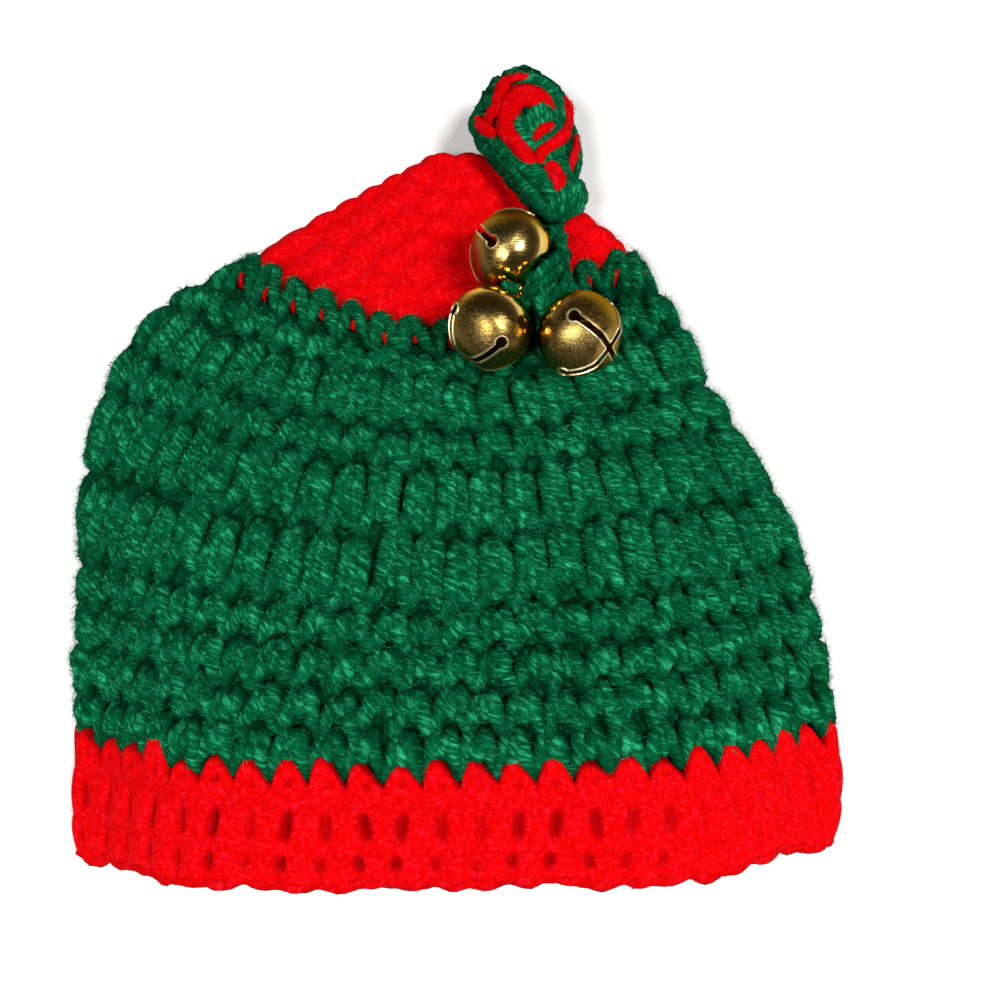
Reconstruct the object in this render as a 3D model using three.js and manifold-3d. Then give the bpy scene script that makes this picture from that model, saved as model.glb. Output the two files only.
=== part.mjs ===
// A crocheted christmas beanie lying flat: mouth towards -Y, front layer up, underside on z = 0.
// Sizes in millimetres, +Z up.

import * as THREE from 'three';
import { mergeVertices } from 'three/addons/utils/BufferGeometryUtils.js';
import Module from 'manifold-3d';

// Driving sizes
const WALL = 4.0;             // thickness of the crochet
const FOLD_HEIGHT = 10.5;     // height of the folded side edge, two walls and the bend
const STITCHES = 48;          // stitches in a full round
const SCALLOPS = 24;          // stitches in the first green round, round the crown
const PIECE_GAP = 0.7;        // step along the hat between two colours, 0.3 mm or more across the teeth
const SEAT_GAP = 0.35;        // clearance where a piece is seated on the hat
const GROOVE = 0.9;           // depth of the groove between two rounds
const DOME_POWER = 5;         // the front layer is level in the middle and falls steeply at the sides
const DOME_FALL = 1.6;
const TOOTH_CROWN = 3.2;      // height of the green scallops in the red crown
const TOOTH_BAND = 5.4;       // height of the red peaks in the green
const BRIM_ROUND = 1.3;       // rounding of the mouth's edge
const INNER_TIP = 14;         // where the hollow ends, down from the tip

// Lines across the hat, from the tip down: left fold, middle of the front, right fold, height in the middle.
const SECTIONS = [
  { down: 0.0, left_x: -4.0, left_y: 94.3, mid_x: 0.5, right_x: 5.5, right_y: 94.3, top: 10.5 },
  { down: 13.0, left_x: -14.0, left_y: 88.0, mid_x: -0.5, right_x: 16.5, right_y: 88.6, top: 11.0 },
  { down: 26.6, left_x: -26.0, left_y: 80.9, mid_x: -2.0, right_x: 28.5, right_y: 80.8, top: 11.8 },
  { down: 48.7, left_x: -47.0, left_y: 68.2, mid_x: -3.5, right_x: 45.8, right_y: 66.5, top: 14.4 },
  { down: 61.2, left_x: -66.8, left_y: 56.0, mid_x: -1.8, right_x: 57.0, right_y: 48.4, top: 16.2 },
  { down: 74.1, left_x: -79.3, left_y: 43.2, mid_x: -1.4, right_x: 62.9, right_y: 34.1, top: 18.2 },
  { down: 98.3, left_x: -87.2, left_y: 13.0, mid_x: -0.8, right_x: 76.8, right_y: 7.9, top: 22.3 },
  { down: 114.5, left_x: -87.0, left_y: -8.5, mid_x: -0.5, right_x: 83.4, right_y: -8.3, top: 24.7 },
  { down: 150.9, left_x: -84.6, left_y: -53.4, mid_x: 0.0, right_x: 89.3, right_y: -51.2, top: 27.2 },
  { down: 162.5, left_x: -83.8, left_y: -67.0, mid_x: 0.0, right_x: 89.0, right_y: -63.6, top: 27.4 },
  { down: 168.6, left_x: -82.0, left_y: -75.8, mid_x: 0.0, right_x: 86.8, right_y: -71.8, top: 27.2 },
];
const TIP_Y = 93.6;           // middle of the front at the tip, y = TIP_Y - down

// Rounds of the crochet, one groove at each start
const CROWN_ROUNDS = [16, 28, 38];
const BODY_ROUNDS = [61.2, 74.1, 83.2, 98.3, 114.5, 130];
const BAND_ROUNDS = [155.5, 163.5];
const CROWN_END = 48.7;
const BODY_END = 150.9;
const BRIM_END = 168.6;

// Knob: a teardrop of wound yarn, its head over the edge of the crown and its neck on the crown.
const KNOB = { head: [17.6, 96.4, 13.2], neck: [25.4, 71.2, 17.5], sides: 16 };
const KNOB_PROFILE = [
  { along: -12.3, radius: 0.0 },
  { along: -11.2, radius: 5.6 },
  { along: -7.6, radius: 9.8 },
  { along: -2.0, radius: 12.8 },
  { along: 4.0, radius: 12.3 },
  { along: 10.0, radius: 10.4 },
  { along: 17.0, radius: 8.2 },
  { along: 23.5, radius: 6.8 },
  { along: 28.0, radius: 4.2 },
  { along: 29.4, radius: 0.0 },
];
// Strands wound over the knob, from the station at its start over its middle to its end; turn 0 is up.
const KNOB_STRANDS = [
  { name: 'left_edge', along_0: -6, turn_0: -84, along_1: 8, turn_1: -62, along_2: 24, turn_2: -70, thick: 5.2 },
  { name: 'hook', along_0: -3, turn_0: 40, along_1: -9, turn_1: -8, along_2: 9, turn_2: -8, thick: 3.6 },
  { name: 'right_bulge', along_0: 9, turn_0: 84, along_1: 17, turn_1: 88, along_2: 25, turn_2: 50, thick: 6.6 },
  { name: 'cross', along_0: 1, turn_0: -12, along_1: 3, turn_1: 22, along_2: -1, turn_2: 62, thick: 3.4 },
  { name: 'right_side', along_0: -2, turn_0: 84, along_1: 8, turn_1: 92, along_2: 18, turn_2: 100, thick: 3.8 },
];

// Cord from the knob's neck over the crown to the knot between the bells, and its thickness.
const CORD_THICK = 4.6;
const CORD_SIDES = 8;
const CORD = [
  { x: 25.2, y: 70.4, lift: 4.4 },
  { x: 25.4, y: 64.0, lift: 2.4 },
  { x: 25.6, y: 58.6, lift: 2.4 },
  { x: 24.2, y: 54.0, lift: 3.4 },
  { x: 21.6, y: 49.8, lift: 4.6 },
];
const KNOT = { x: 21.6, y: 49.2, lift: 4.4, radius: 4.6, stretch: 1.3 };

// Jingle bells: centre, direction of the slotted end, direction of the first slot's end hole.
const BELL = { radius: 9.0, wall: 0.6, sides: 18, slot: 1.5, slot_turn: 76, hole: 2.6, loop: 1.7, wire: 1.1 };
const BELLS = [
  { name: 'bell_1', x: 14.2, y: 58.8, z: 22.4, end: [-0.74, 0.67, 0.04], slot: [-0.26, -0.34, 0.91] },
  { name: 'bell_2', x: 9.7, y: 40.0, z: 25.0, end: [-0.60, -0.79, -0.12], slot: [0.43, -0.45, 0.78] },
  { name: 'bell_3', x: 29.3, y: 38.2, z: 25.7, end: [0.72, -0.53, 0.46], slot: [-0.41, 0.22, 0.89] },
];

// Colours
const RED = 0xc9141a;
const GREEN = 0x0b6a3c;
const GOLD = 0xc9a24a;

const wasm = await Module();
wasm.setup();

const COLUMNS = 2 * STITCHES;

// Value of one column of the section table at a distance down from the tip, on a smooth curve.
function column(name, down) {
  const last = SECTIONS.length - 1;
  let i = 0;
  while (i < last - 1 && down > SECTIONS[i + 1].down) i += 1;
  const at = (k) => SECTIONS[Math.min(Math.max(k, 0), last)];
  const slope = (k) => {
    const a = at(k - 1);
    const b = at(k + 1);
    return (b[name] - a[name]) / (b.down - a.down);
  };
  const step = at(i + 1).down - at(i).down;
  const t = (down - at(i).down) / step;
  const t2 = t * t;
  const t3 = t2 * t;
  return (2 * t3 - 3 * t2 + 1) * at(i)[name] + (t3 - 2 * t2 + t) * step * slope(i)
    + (3 * t2 - 2 * t3) * at(i + 1)[name] + (t3 - t2) * step * slope(i + 1);
}

// The line across the hat in plan, a circular arc from the left fold over the middle to the right fold.
function planArc(down) {
  const left = new THREE.Vector2(column('left_x', down), column('left_y', down));
  const mid = new THREE.Vector2(column('mid_x', down), TIP_Y - down);
  const right = new THREE.Vector2(column('right_x', down), column('right_y', down));
  const a = left.clone().sub(mid);
  const b = right.clone().sub(mid);
  const cross = 2 * (a.x * b.y - a.y * b.x);
  const centre = new THREE.Vector2(
    (b.y * a.lengthSq() - a.y * b.lengthSq()) / cross,
    (a.x * b.lengthSq() - b.x * a.lengthSq()) / cross,
  );
  const radius = centre.length();
  const start = Math.atan2(-centre.y, -centre.x);
  const swing = (p) => {
    const turn = Math.atan2(p.y - centre.y, p.x - centre.x) - start;
    return Math.atan2(Math.sin(turn), Math.cos(turn));
  };
  const turnLeft = swing(a);
  const turnRight = swing(b);
  return {
    left: Math.abs(turnLeft) * radius,
    right: Math.abs(turnRight) * radius,
    // point at a signed distance from the middle, to the right if positive
    at(distance) {
      const side = distance < 0 ? turnLeft : turnRight;
      const angle = start + Math.sign(side) * Math.abs(distance) / radius;
      return [mid.x + centre.x + radius * Math.cos(angle), mid.y + centre.y + radius * Math.sin(angle)];
    },
  };
}

// Height above the fold's top that the front layer keeps, 1 in the middle and 0 at the folds
const dome = (t) => Math.pow(Math.max(0, 1 - Math.pow(Math.abs(t), DOME_POWER)), DOME_FALL);

// One ring round the hat: inset from the outer skin, its underside at height low. Columns start at the right
// fold, run over the front to the left fold and come back underneath, evenly spaced on each layer.
function ring(down, inset, low, count, shut = 1) {
  const arc = planArc(Math.max(down, 0.3));
  const reachLeft = Math.max(arc.left - inset, 0.4);
  const reachRight = Math.max(arc.right - inset, 0.4);
  const foldTop = FOLD_HEIGHT - inset;
  const top = column('top', down) - inset;
  const half = (foldTop - low) / 2;
  const bend = Math.min(half, reachLeft * 0.8, reachRight * 0.8);
  const height = (distance, upper) => {
    const reach = distance < 0 ? reachLeft : reachRight;
    const out = Math.max(0, Math.abs(distance) - (reach - bend)) / bend;
    const cap = half * Math.sqrt(Math.max(0, 1 - out * out));
    const flat = Math.min(1, Math.abs(distance) / (reach - bend));
    const z = upper ? low + half + cap + (top - foldTop) * dome(flat) : low + half - cap;
    return low + half + (z - low - half) * shut;
  };
  const layer = (upper) => {
    const fine = 160;
    const line = [];
    for (let i = 0; i <= fine; i += 1) {
      const side = Math.cos(Math.PI * i / fine);
      const distance = side < 0 ? side * reachLeft : side * reachRight;
      const [x, y] = arc.at(distance);
      line.push(new THREE.Vector3(x, y, height(distance, upper)));
    }
    const lengths = [0];
    for (let i = 1; i <= fine; i += 1) lengths.push(lengths[i - 1] + line[i].distanceTo(line[i - 1]));
    const points = [];
    let k = 1;
    for (let i = 0; i < count / 2; i += 1) {
      const want = lengths[fine] * i / (count / 2);
      while (k < fine && lengths[k] < want) k += 1;
      const t = (want - lengths[k - 1]) / (lengths[k] - lengths[k - 1] || 1);
      points.push(line[k - 1].clone().lerp(line[k], t));
    }
    points.push(line[fine].clone());
    return points;
  };
  const front = layer(true);
  const back = layer(false).reverse();
  return front.slice(0, -1).concat(back.slice(0, -1));
}

// The same ring with its edge in teeth: the columns within a tooth are moved up the hat.
function toothedRing(down, inset, low, count, tooth, teeth) {
  const perTooth = count / teeth;
  const rows = [];
  for (let k = 0; k < perTooth; k += 1) {
    rows.push(ring(down - tooth * Math.sin(Math.PI * k / perTooth), inset, low, count));
  }
  return rows[0].map((p, i) => rows[i % perTooth][i]);
}

// Closed surface from rings that follow each other; the ends are shut by a point or run round to the start.
function skin(rings, closeEnds) {
  const positions = [];
  const index = [];
  const starts = rings.map((points) => {
    const start = positions.length / 3;
    points.forEach((p) => positions.push(p.x, p.y, p.z));
    return start;
  });
  // two triangles for each column, or three where a ring with half the columns follows or comes before
  const strip = (k, n) => {
    const swap = rings[k].length < rings[n].length;
    const fine = swap ? n : k;
    const other = swap ? k : n;
    const count = rings[fine].length;
    const step = count / rings[other].length;
    const face = (a, b, c) => (swap ? index.push(a, c, b) : index.push(a, b, c));
    for (let i = 0; i < count; i += step) {
      const f = [0, 1, 2].map((j) => starts[fine] + (i + j) % count);
      const o = [0, 1].map((j) => starts[other] + (i / step + j) % rings[other].length);
      face(f[0], f[1], o[0]);
      face(o[0], f[1], o[1]);
      if (step === 2) face(f[1], f[2], o[1]);
    }
  };
  for (let k = 0; k + 1 < rings.length; k += 1) strip(k, k + 1);
  if (closeEnds) {
    const end = (k, forward) => {
      const centre = new THREE.Vector3();
      rings[k].forEach((p) => centre.add(p));
      centre.divideScalar(rings[k].length);
      const tip = positions.length / 3;
      positions.push(centre.x, centre.y, centre.z);
      rings[k].forEach((p, i) => {
        const a = starts[k] + i;
        const b = starts[k] + (i + 1) % rings[k].length;
        if (forward) index.push(tip, b, a);
        else index.push(tip, a, b);
      });
    };
    end(0, true);
    end(rings.length - 1, false);
  } else {
    strip(rings.length - 1, 0);
  }
  const geometry = new THREE.BufferGeometry();
  geometry.setAttribute('position', new THREE.Float32BufferAttribute(positions, 3));
  geometry.setIndex(index);
  return geometry;
}

// Rings of the outer skin over a stretch of rounds: a groove at each start, a crest between.
function roundRings(starts, from, to) {
  const stops = [from, ...starts, to];
  const rings = [];
  for (let i = 0; i + 1 < stops.length; i += 1) {
    if (i > 0) rings.push(ring(stops[i], GROOVE, 0, COLUMNS));
    const reach = stops[i + 1] - stops[i];
    rings.push(ring(stops[i] + 0.5 * reach, 0, 0, COLUMNS));
  }
  return rings;
}

const innerRing = (down) => ring(down, WALL, WALL, STITCHES);

// Crown: closed over the tip, hollow below, scalloped lower edge
function crown() {
  const half = FOLD_HEIGHT / 2;
  const tips = [0.25, 1.6].map((down) => {
    const shut = Math.sqrt(1 - Math.pow(1 - down / half, 2));
    return ring(down, 0, 0, COLUMNS, shut);
  });
  const outer = [...tips, ...roundRings(CROWN_ROUNDS, 5.4, CROWN_END - TOOTH_CROWN)];
  const edge = toothedRing(CROWN_END, 0.4, 0, COLUMNS, TOOTH_CROWN, SCALLOPS);
  const inner = [CROWN_END, 40, 28, INNER_TIP].map(innerRing);
  return skin([...outer, edge, ...inner], true);
}

function body() {
  const start = CROWN_END + PIECE_GAP;
  const outer = roundRings(BODY_ROUNDS, start, BODY_END - TOOTH_BAND);
  const upper = toothedRing(start, 0.4, 0, COLUMNS, TOOTH_CROWN, SCALLOPS);
  const lower = toothedRing(BODY_END, 0.4, 0, COLUMNS, TOOTH_BAND, STITCHES);
  const inner = [BODY_END, 122, 92, start + 12, start].map(innerRing);
  return skin([upper, ...outer, lower, ...inner], false);
}

function band() {
  const start = BODY_END + PIECE_GAP;
  const outer = roundRings(BAND_ROUNDS, start, BRIM_END - BRIM_ROUND);
  const upper = toothedRing(start, 0.4, 0, COLUMNS, TOOTH_BAND, STITCHES);
  const brim = [
    ring(BRIM_END - BRIM_ROUND, 0.3, 0, COLUMNS),
    ring(BRIM_END, BRIM_ROUND, BRIM_ROUND, COLUMNS),
    ring(BRIM_END, WALL - BRIM_ROUND, WALL - BRIM_ROUND, STITCHES),
  ];
  const inner = [BRIM_END - BRIM_ROUND, start].map(innerRing);
  return skin([upper, ...outer, ...brim, ...inner], false);
}

// Manifold solid of a geometry, and a geometry of a solid
function solid(geometry) {
  const bare = geometry.clone();
  bare.deleteAttribute('normal');
  bare.deleteAttribute('uv');
  const merged = mergeVertices(bare, 1e-4);
  const mesh = new wasm.Mesh({
    numProp: 3,
    vertProperties: new Float32Array(merged.attributes.position.array),
    triVerts: new Uint32Array(merged.index.array),
  });
  mesh.merge();
  return new wasm.Manifold(mesh);
}

function surface(body3) {
  const mesh = body3.getMesh();
  const geometry = new THREE.BufferGeometry();
  geometry.setAttribute('position', new THREE.Float32BufferAttribute(mesh.vertProperties, 3));
  geometry.setIndex(Array.from(mesh.triVerts));
  return geometry;
}

// The hat's outside without its hollow, grown by the seat's gap
function hatForm() {
  const rings = [0.2, 2, 6, 16, 26, 36, 46, 54, 62, 74, 88].map((down) => {
    const half = FOLD_HEIGHT / 2;
    const shut = down < half ? Math.sqrt(1 - Math.pow(1 - down / half, 2)) : 1;
    return ring(down, -SEAT_GAP, -SEAT_GAP, COLUMNS, shut);
  });
  const nose = rings[0].map((p) => p.clone().add(new THREE.Vector3(0, SEAT_GAP, 0)));
  return solid(skin([nose, ...rings], true));
}

// Height of the hat's front layer above a plan point, by the nearest line across
function topAt(x, y) {
  let best = Infinity;
  let z = 0;
  for (let down = 4; down < 110; down += 0.5) {
    const points = ring(down, 0, 0, COLUMNS).slice(0, STITCHES);
    points.forEach((p) => {
      const off = Math.hypot(p.x - x, p.y - y);
      if (off < best) {
        best = off;
        z = p.z;
      }
    });
  }
  return z;
}

// Frame of the knob: along its length to the neck, to its right and up
function knobFrame() {
  const head = new THREE.Vector3(...KNOB.head);
  const along = new THREE.Vector3(...KNOB.neck).sub(head).normalize();
  const side = new THREE.Vector3(0, 0, 1).cross(along).normalize();
  return { head, along, side, up: along.clone().cross(side).normalize() };
}

function knobRadius(along) {
  let i = 0;
  while (i < KNOB_PROFILE.length - 2 && along > KNOB_PROFILE[i + 1].along) i += 1;
  const a = KNOB_PROFILE[i];
  const b = KNOB_PROFILE[i + 1];
  return a.radius + (b.radius - a.radius) * (along - a.along) / (b.along - a.along);
}

function knobPoint(frame, along, turn, lift) {
  const radius = knobRadius(along) + lift;
  const angle = THREE.MathUtils.degToRad(turn);
  return frame.head.clone()
    .addScaledVector(frame.along, along)
    .addScaledVector(frame.side, radius * Math.sin(angle))
    .addScaledVector(frame.up, radius * Math.cos(angle));
}

// Round strand along a curve, closed at both ends
function strand(points, thick, sides, steps) {
  const shape = new THREE.Shape();
  for (let i = 0; i < sides; i += 1) {
    const angle = 2 * Math.PI * i / sides;
    const x = 0.5 * thick * Math.cos(angle);
    const y = 0.5 * thick * Math.sin(angle);
    if (i === 0) shape.moveTo(x, y);
    else shape.lineTo(x, y);
  }
  shape.closePath();
  const path = new THREE.CatmullRomCurve3(points);
  return new THREE.ExtrudeGeometry(shape, { steps, bevelEnabled: false, extrudePath: path });
}

// The knob with its strands fused on; grown a little, it is what clears the cord from it.
function knob(hat, grow = 0) {
  const frame = knobFrame();
  const last = KNOB_PROFILE.length - 1;
  const outline = KNOB_PROFILE.map((row, i) => {
    const ends = i === 0 ? -grow : i === last ? grow : 0;
    return new THREE.Vector2(row.radius > 0 ? row.radius + grow : 0, row.along + ends);
  });
  const core = new THREE.LatheGeometry(outline, KNOB.sides);
  const basis = new THREE.Matrix4().makeBasis(frame.side.clone().negate(), frame.along, frame.up);
  basis.setPosition(frame.head);
  core.applyMatrix4(basis);
  let form = solid(core);
  for (const row of KNOB_STRANDS) {
    const stations = [0, 0.5, 1, 1.5, 2].map((t) => {
      const l0 = (t - 1) * (t - 2) / 2;
      const l1 = t * (2 - t);
      const l2 = t * (t - 1) / 2;
      const along = l0 * row.along_0 + l1 * row.along_1 + l2 * row.along_2;
      const turn = l0 * row.turn_0 + l1 * row.turn_1 + l2 * row.turn_2;
      return knobPoint(frame, along, turn, -0.25 * row.thick);
    });
    form = form.add(solid(strand(stations, row.thick + 2 * grow, 5, 7)));
  }
  const floor = solid(new THREE.BoxGeometry(200, 200, 40).translate(0, 60, -20 + SEAT_GAP));
  return form.subtract(hat).subtract(floor);
}

// Bell shell with two crossed slots at its end, a hole at each end of a slot and a loop opposite
function bell(row) {
  const { radius, wall, sides, slot, slot_turn: slotTurn, hole, loop, wire } = BELL;
  const ball = (r, n) => {
    const rows = Math.round(n / 2);
    const outline = [];
    for (let i = 0; i <= rows; i += 1) {
      const angle = Math.PI * i / rows;
      outline.push(new THREE.Vector2(i % rows === 0 ? 0 : r * Math.sin(angle), -r * Math.cos(angle)));
    }
    return solid(new THREE.LatheGeometry(outline, n));
  };
  // the slotted end is at -Y of the lathe, the loop at +Y
  let shell = ball(radius, sides);
  const ring3 = solid(new THREE.TorusGeometry(loop, wire / 2, 5, 9).translate(0, radius + loop - 0.9, 0));
  shell = shell.add(ring3).subtract(ball(radius - wall, sides - 6));
  const turn = THREE.MathUtils.degToRad(slotTurn);
  const reach = radius * Math.sin(turn);
  const depth = radius * (1 - Math.cos(turn));
  for (let i = 0; i < 2; i += 1) {
    const cutter = new THREE.BoxGeometry(2 * reach, depth, slot).translate(0, -radius + depth / 2 - 0.01, 0);
    shell = shell.subtract(solid(cutter.rotateY(i * Math.PI / 2)));
  }
  for (let i = 0; i < 4; i += 1) {
    const drill = new THREE.CylinderGeometry(hole / 2, hole / 2, 4, 10).translate(0, radius, 0);
    drill.rotateZ(-Math.PI + turn);
    drill.rotateY(i * Math.PI / 2);
    shell = shell.subtract(solid(drill));
  }
  const end = new THREE.Vector3(...row.end).normalize();
  const first = new THREE.Vector3(...row.slot);
  first.addScaledVector(end, -first.dot(end)).normalize();
  const axis = end.clone().negate();
  const place = new THREE.Matrix4().makeBasis(first, axis, first.clone().cross(axis));
  place.setPosition(row.x, row.y, row.z);
  return surface(shell).applyMatrix4(place);
}

// Cord on the crown and the knot between the bells, one solid cut clear of what it touches
function bellTie(hat, knobForm, bells) {
  const points = CORD.map((row) => new THREE.Vector3(row.x, row.y, topAt(row.x, row.y) + row.lift));
  let form = solid(strand(points, CORD_THICK, CORD_SIDES, 8));
  const ball = new THREE.SphereGeometry(KNOT.radius, 10, 6).scale(KNOT.stretch, 1, 0.85);
  form = form.add(solid(ball.translate(KNOT.x, KNOT.y, topAt(KNOT.x, KNOT.y) + KNOT.lift)));
  form = form.subtract(hat).subtract(knobForm);
  for (const row of bells) {
    const clear = new THREE.SphereGeometry(BELL.radius + 2 * SEAT_GAP, 20, 10).translate(row.x, row.y, row.z);
    form = form.subtract(solid(clear));
    const end = new THREE.Vector3(...row.end).normalize();
    const far = BELL.radius + BELL.loop - 0.9;
    const span = BELL.loop + BELL.wire / 2 + SEAT_GAP;
    const pocket = new THREE.SphereGeometry(span, 8, 6);
    pocket.translate(row.x - far * end.x, row.y - far * end.y, row.z - far * end.z);
    form = form.subtract(solid(pocket));
  }
  return form;
}

// Largest of the separate bodies left by cutting
function mainBody(form) {
  const pieces = form.decompose();
  return pieces.reduce((a, b) => (b.volume() > a.volume() ? b : a));
}

const group = new THREE.Group();
function node(name, geometry, colour, metal) {
  const flat = geometry.index ? geometry : mergeVertices(geometry, 1e-4);
  flat.computeVertexNormals();
  const material = new THREE.MeshStandardMaterial({ color: colour, metalness: metal, roughness: metal ? 0.3 : 0.95 });
  material.name = name;
  const mesh = new THREE.Mesh(flat, material);
  mesh.name = name;
  group.add(mesh);
}

const hat = hatForm();
const knobSolid = mainBody(knob(hat));
const tieSolid = mainBody(bellTie(hat, knob(hat, SEAT_GAP), BELLS));
node('crown', crown(), RED, 0);
node('body', body(), GREEN, 0);
node('band', band(), RED, 0);
node('knob', surface(knobSolid), GREEN, 0);
node('bell_tie', surface(tieSolid), GREEN, 0);
BELLS.forEach((row) => node(row.name, bell(row), GOLD, 1));

export default group;
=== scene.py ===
"""Looks of a crocheted christmas beanie lying flat: yarn stitches, wound knob, cord and jingle bells."""
import math

import bpy
import bmesh
import numpy as np
from mathutils import Matrix, Vector
from mathutils.bvhtree import BVHTree


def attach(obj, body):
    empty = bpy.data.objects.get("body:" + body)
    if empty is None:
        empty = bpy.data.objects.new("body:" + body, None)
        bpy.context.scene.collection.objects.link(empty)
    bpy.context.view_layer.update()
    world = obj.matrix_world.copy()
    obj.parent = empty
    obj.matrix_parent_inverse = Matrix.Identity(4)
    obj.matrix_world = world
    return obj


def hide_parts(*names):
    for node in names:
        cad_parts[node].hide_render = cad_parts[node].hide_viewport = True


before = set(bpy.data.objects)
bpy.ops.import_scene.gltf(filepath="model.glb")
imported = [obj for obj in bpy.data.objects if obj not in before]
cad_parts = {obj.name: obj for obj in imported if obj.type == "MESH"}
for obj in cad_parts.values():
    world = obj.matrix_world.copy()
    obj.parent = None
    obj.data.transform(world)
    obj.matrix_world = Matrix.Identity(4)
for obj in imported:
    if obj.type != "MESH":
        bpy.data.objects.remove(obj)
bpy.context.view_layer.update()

# Shapes are worked out in millimetres and become metres when a mesh is made.
MM = 0.001
TINY = 1e-12
FLOOR_GAP = 0.02        # lowest yarn above the table
rng = np.random.default_rng(24)

# The hat, as in the part's source: lines across it from the tip down.
HAT_COLUMNS = ("down", "left_x", "left_y", "mid_x", "right_x", "right_y", "top")
HAT_LINES = np.array([
    (0.0, -4.0, 94.3, 0.5, 5.5, 94.3, 10.5),
    (13.0, -14.0, 88.0, -0.5, 16.5, 88.6, 11.0),
    (26.6, -26.0, 80.9, -2.0, 28.5, 80.8, 11.8),
    (48.7, -47.0, 68.2, -3.5, 45.8, 66.5, 14.4),
    (61.2, -66.8, 56.0, -1.8, 57.0, 48.4, 16.2),
    (74.1, -79.3, 43.2, -1.4, 62.9, 34.1, 18.2),
    (98.3, -87.2, 13.0, -0.8, 76.8, 7.9, 22.3),
    (114.5, -87.0, -8.5, -0.5, 83.4, -8.3, 24.7),
    (150.9, -84.6, -53.4, 0.0, 89.3, -51.2, 27.2),
    (162.5, -83.8, -67.0, 0.0, 89.0, -63.6, 27.4),
    (168.6, -82.0, -75.8, 0.0, 86.8, -71.8, 27.2),
])
TIP_Y = 93.6
FOLD_HEIGHT = 10.5
WALL = 4.0
DOME_POWER, DOME_FALL = 5, 1.6  # how flat the front layer's top is, and how softly it falls to the folds
INNER_TIP = 14.0        # the space inside starts this far down
TIP_START = 0.3         # the first ring below the tip
FOLD_SHARE = 0.8        # a fold's bend takes at most this share of the way to it
RING_SAMPLES = 401      # places across the hat from which a ring is spaced evenly

# The rounds near the crown's edge are drawn up where the cord is sewn on and sag at the folds, and the
# mouth droops and waves a little: millimetres down, turn round the hat, width in turns
PULLS = ((-4.5, 0.10, 0.055), (1.2, 0.30, 0.10), (4.5, 0.50, 0.10), (2.0, 0.0, 0.05))
PULL_DOWN, PULL_LENGTH = 48.0, 14.0
DROOPS = ((1.7, 0.125, 0.045), (1.1, 0.025, 0.03))
MOUTH_WAVES = ((0.35, 13, 0.4), (0.25, 29, 2.0))    # height, waves round the mouth, start
MOUTH_REACH = 20.0

# Rounds of crochet from the tip to the mouth: colour zone, kind of stitch, where it starts and ends
CROWN_ROUND = 6.0
CROWN_STARTS = np.arange(0.5, 48.0, CROWN_ROUND)
ROUNDS = [("crown", "short", start, start + CROWN_ROUND) for start in CROWN_STARTS] + [
    ("body", "scallop", 48.5, 55.0),
    ("body", "short", 54.4, 61.2),
    ("body", "tall", 61.2, 74.1),
    ("body", "short", 74.1, 83.2),
    ("body", "tall", 83.2, 98.3),
    ("body", "tall", 98.3, 114.5),
    ("body", "short", 114.5, 122.3),
    ("body", "short", 122.3, 130.5),
    ("body", "short", 130.5, 138.8),
    ("body", "pointed", 138.8, 147.6),
    ("band", "peak", 147.4, 153.0),
    ("band", "post", 152.6, 161.4),
    ("band", "foot", 161.4, 167.4),
]
BAND_TOP = next(row[1:] for row in ROUNDS if row[0] == "band")
STITCH_WIDTH = 7.45
UPPER_BODY_END = 84.0   # rounds of the body above this are its upper piece
FRONT_TURNS = (-0.02, 0.52)     # the front layer, a little past both folds
FRONT_STITCHES = (0.97, 0.53)   # stitches past the first or before the second of these belong to it
UNDER_TURNS = (0.51, 0.99)      # the layer underneath
# Stitches near the tip turn past upright, toward the line from tip to mouth
TIP_LEAN, TIP_LEAN_DOWN = 1.9, (52.0, 75.0)
LEAN_LIMIT = 0.7        # in stitches
# The crown's stitches lie deep in its felt, the last round under the arches of the next colour
CROWN_SINK, CROWN_SINK_DOWN = (1.3, 1.6), (43.0, 46.0)
ROUNDS_UNDER_ARCHES = 50.0
FEWEST_STITCHES = 6
GIRTH_POINTS = 200      # points of the ring by which a round's length is measured
LEAN_STEP = 0.004       # turns to each side between which the lean of a round is measured

# Yarn
YARN_RADIUS = 2.05
YARN_SIDES = 8
TWIST_TURN = 11.5       # length of yarn in one turn, where the twist shows as ridges
SLANT = 0.42            # slope of the fibres across felted yarn, in radians
LUMP, KNOB_LUMP = 0.12, 0.05     # unevenness of the yarn's surface, of the radius
BUNDLE = 0.05           # how unequal the bundles of fibres are
YARN_FLAT = 0.92        # yarn pressed a little flat
WOBBLE = (0.02, 0.03, 0.18)     # unevenness of a strand's stations, across, down and in depth
JITTER, JITTER_TOP = (0.045, 0.06, 0.22), 0.15      # and of a whole stitch, with a limit on its height
SWELL, SWELL_WAVE = 0.05, 0.7   # thicker and thinner lengths of yarn, of the radius, and how often
YARN_LENGTH = 400.0     # strands are cut from anywhere on a yarn of this length
STRAND_SPACING = 10     # their noise lies this far apart
END_TAPER = (0.45, 0.85, 1.0)   # the last rings of a strand, of the radius
CREST, CREST_MEAN = 0.2, 0.6    # how far the middle of a round stands out, and what is neither in nor out
STATION_TOP = -1.6      # highest station of a strand before that
TOP_DEPTH = -1.5        # the yarn's middle stays this far below the hat's skin
PLY, CRISP_PLY = 0.03, 0.06     # depth of the twist on the felted hat, and on the crisper knob and cord
# Painted shade, kept in the attribute deep: darker the lower the yarn lies, in the twist's grooves and near
# a seam between rounds
PLY_SHADE = 2.4         # how much darker the twist's grooves are
SHADE_LEVEL, SHADE_FALL = -0.2, 1.8     # yarn below this level is darker, fully so this much further down
SEAM_SHADE, SEAM_WIDTH = 0.36, 1.7       # and near the seam between two rounds
FRONT_STEP = 1.1        # spacing of the yarn's rings on the front layer
BACK_STEP, BACK_SIDES = 2.0, 6      # and underneath
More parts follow.
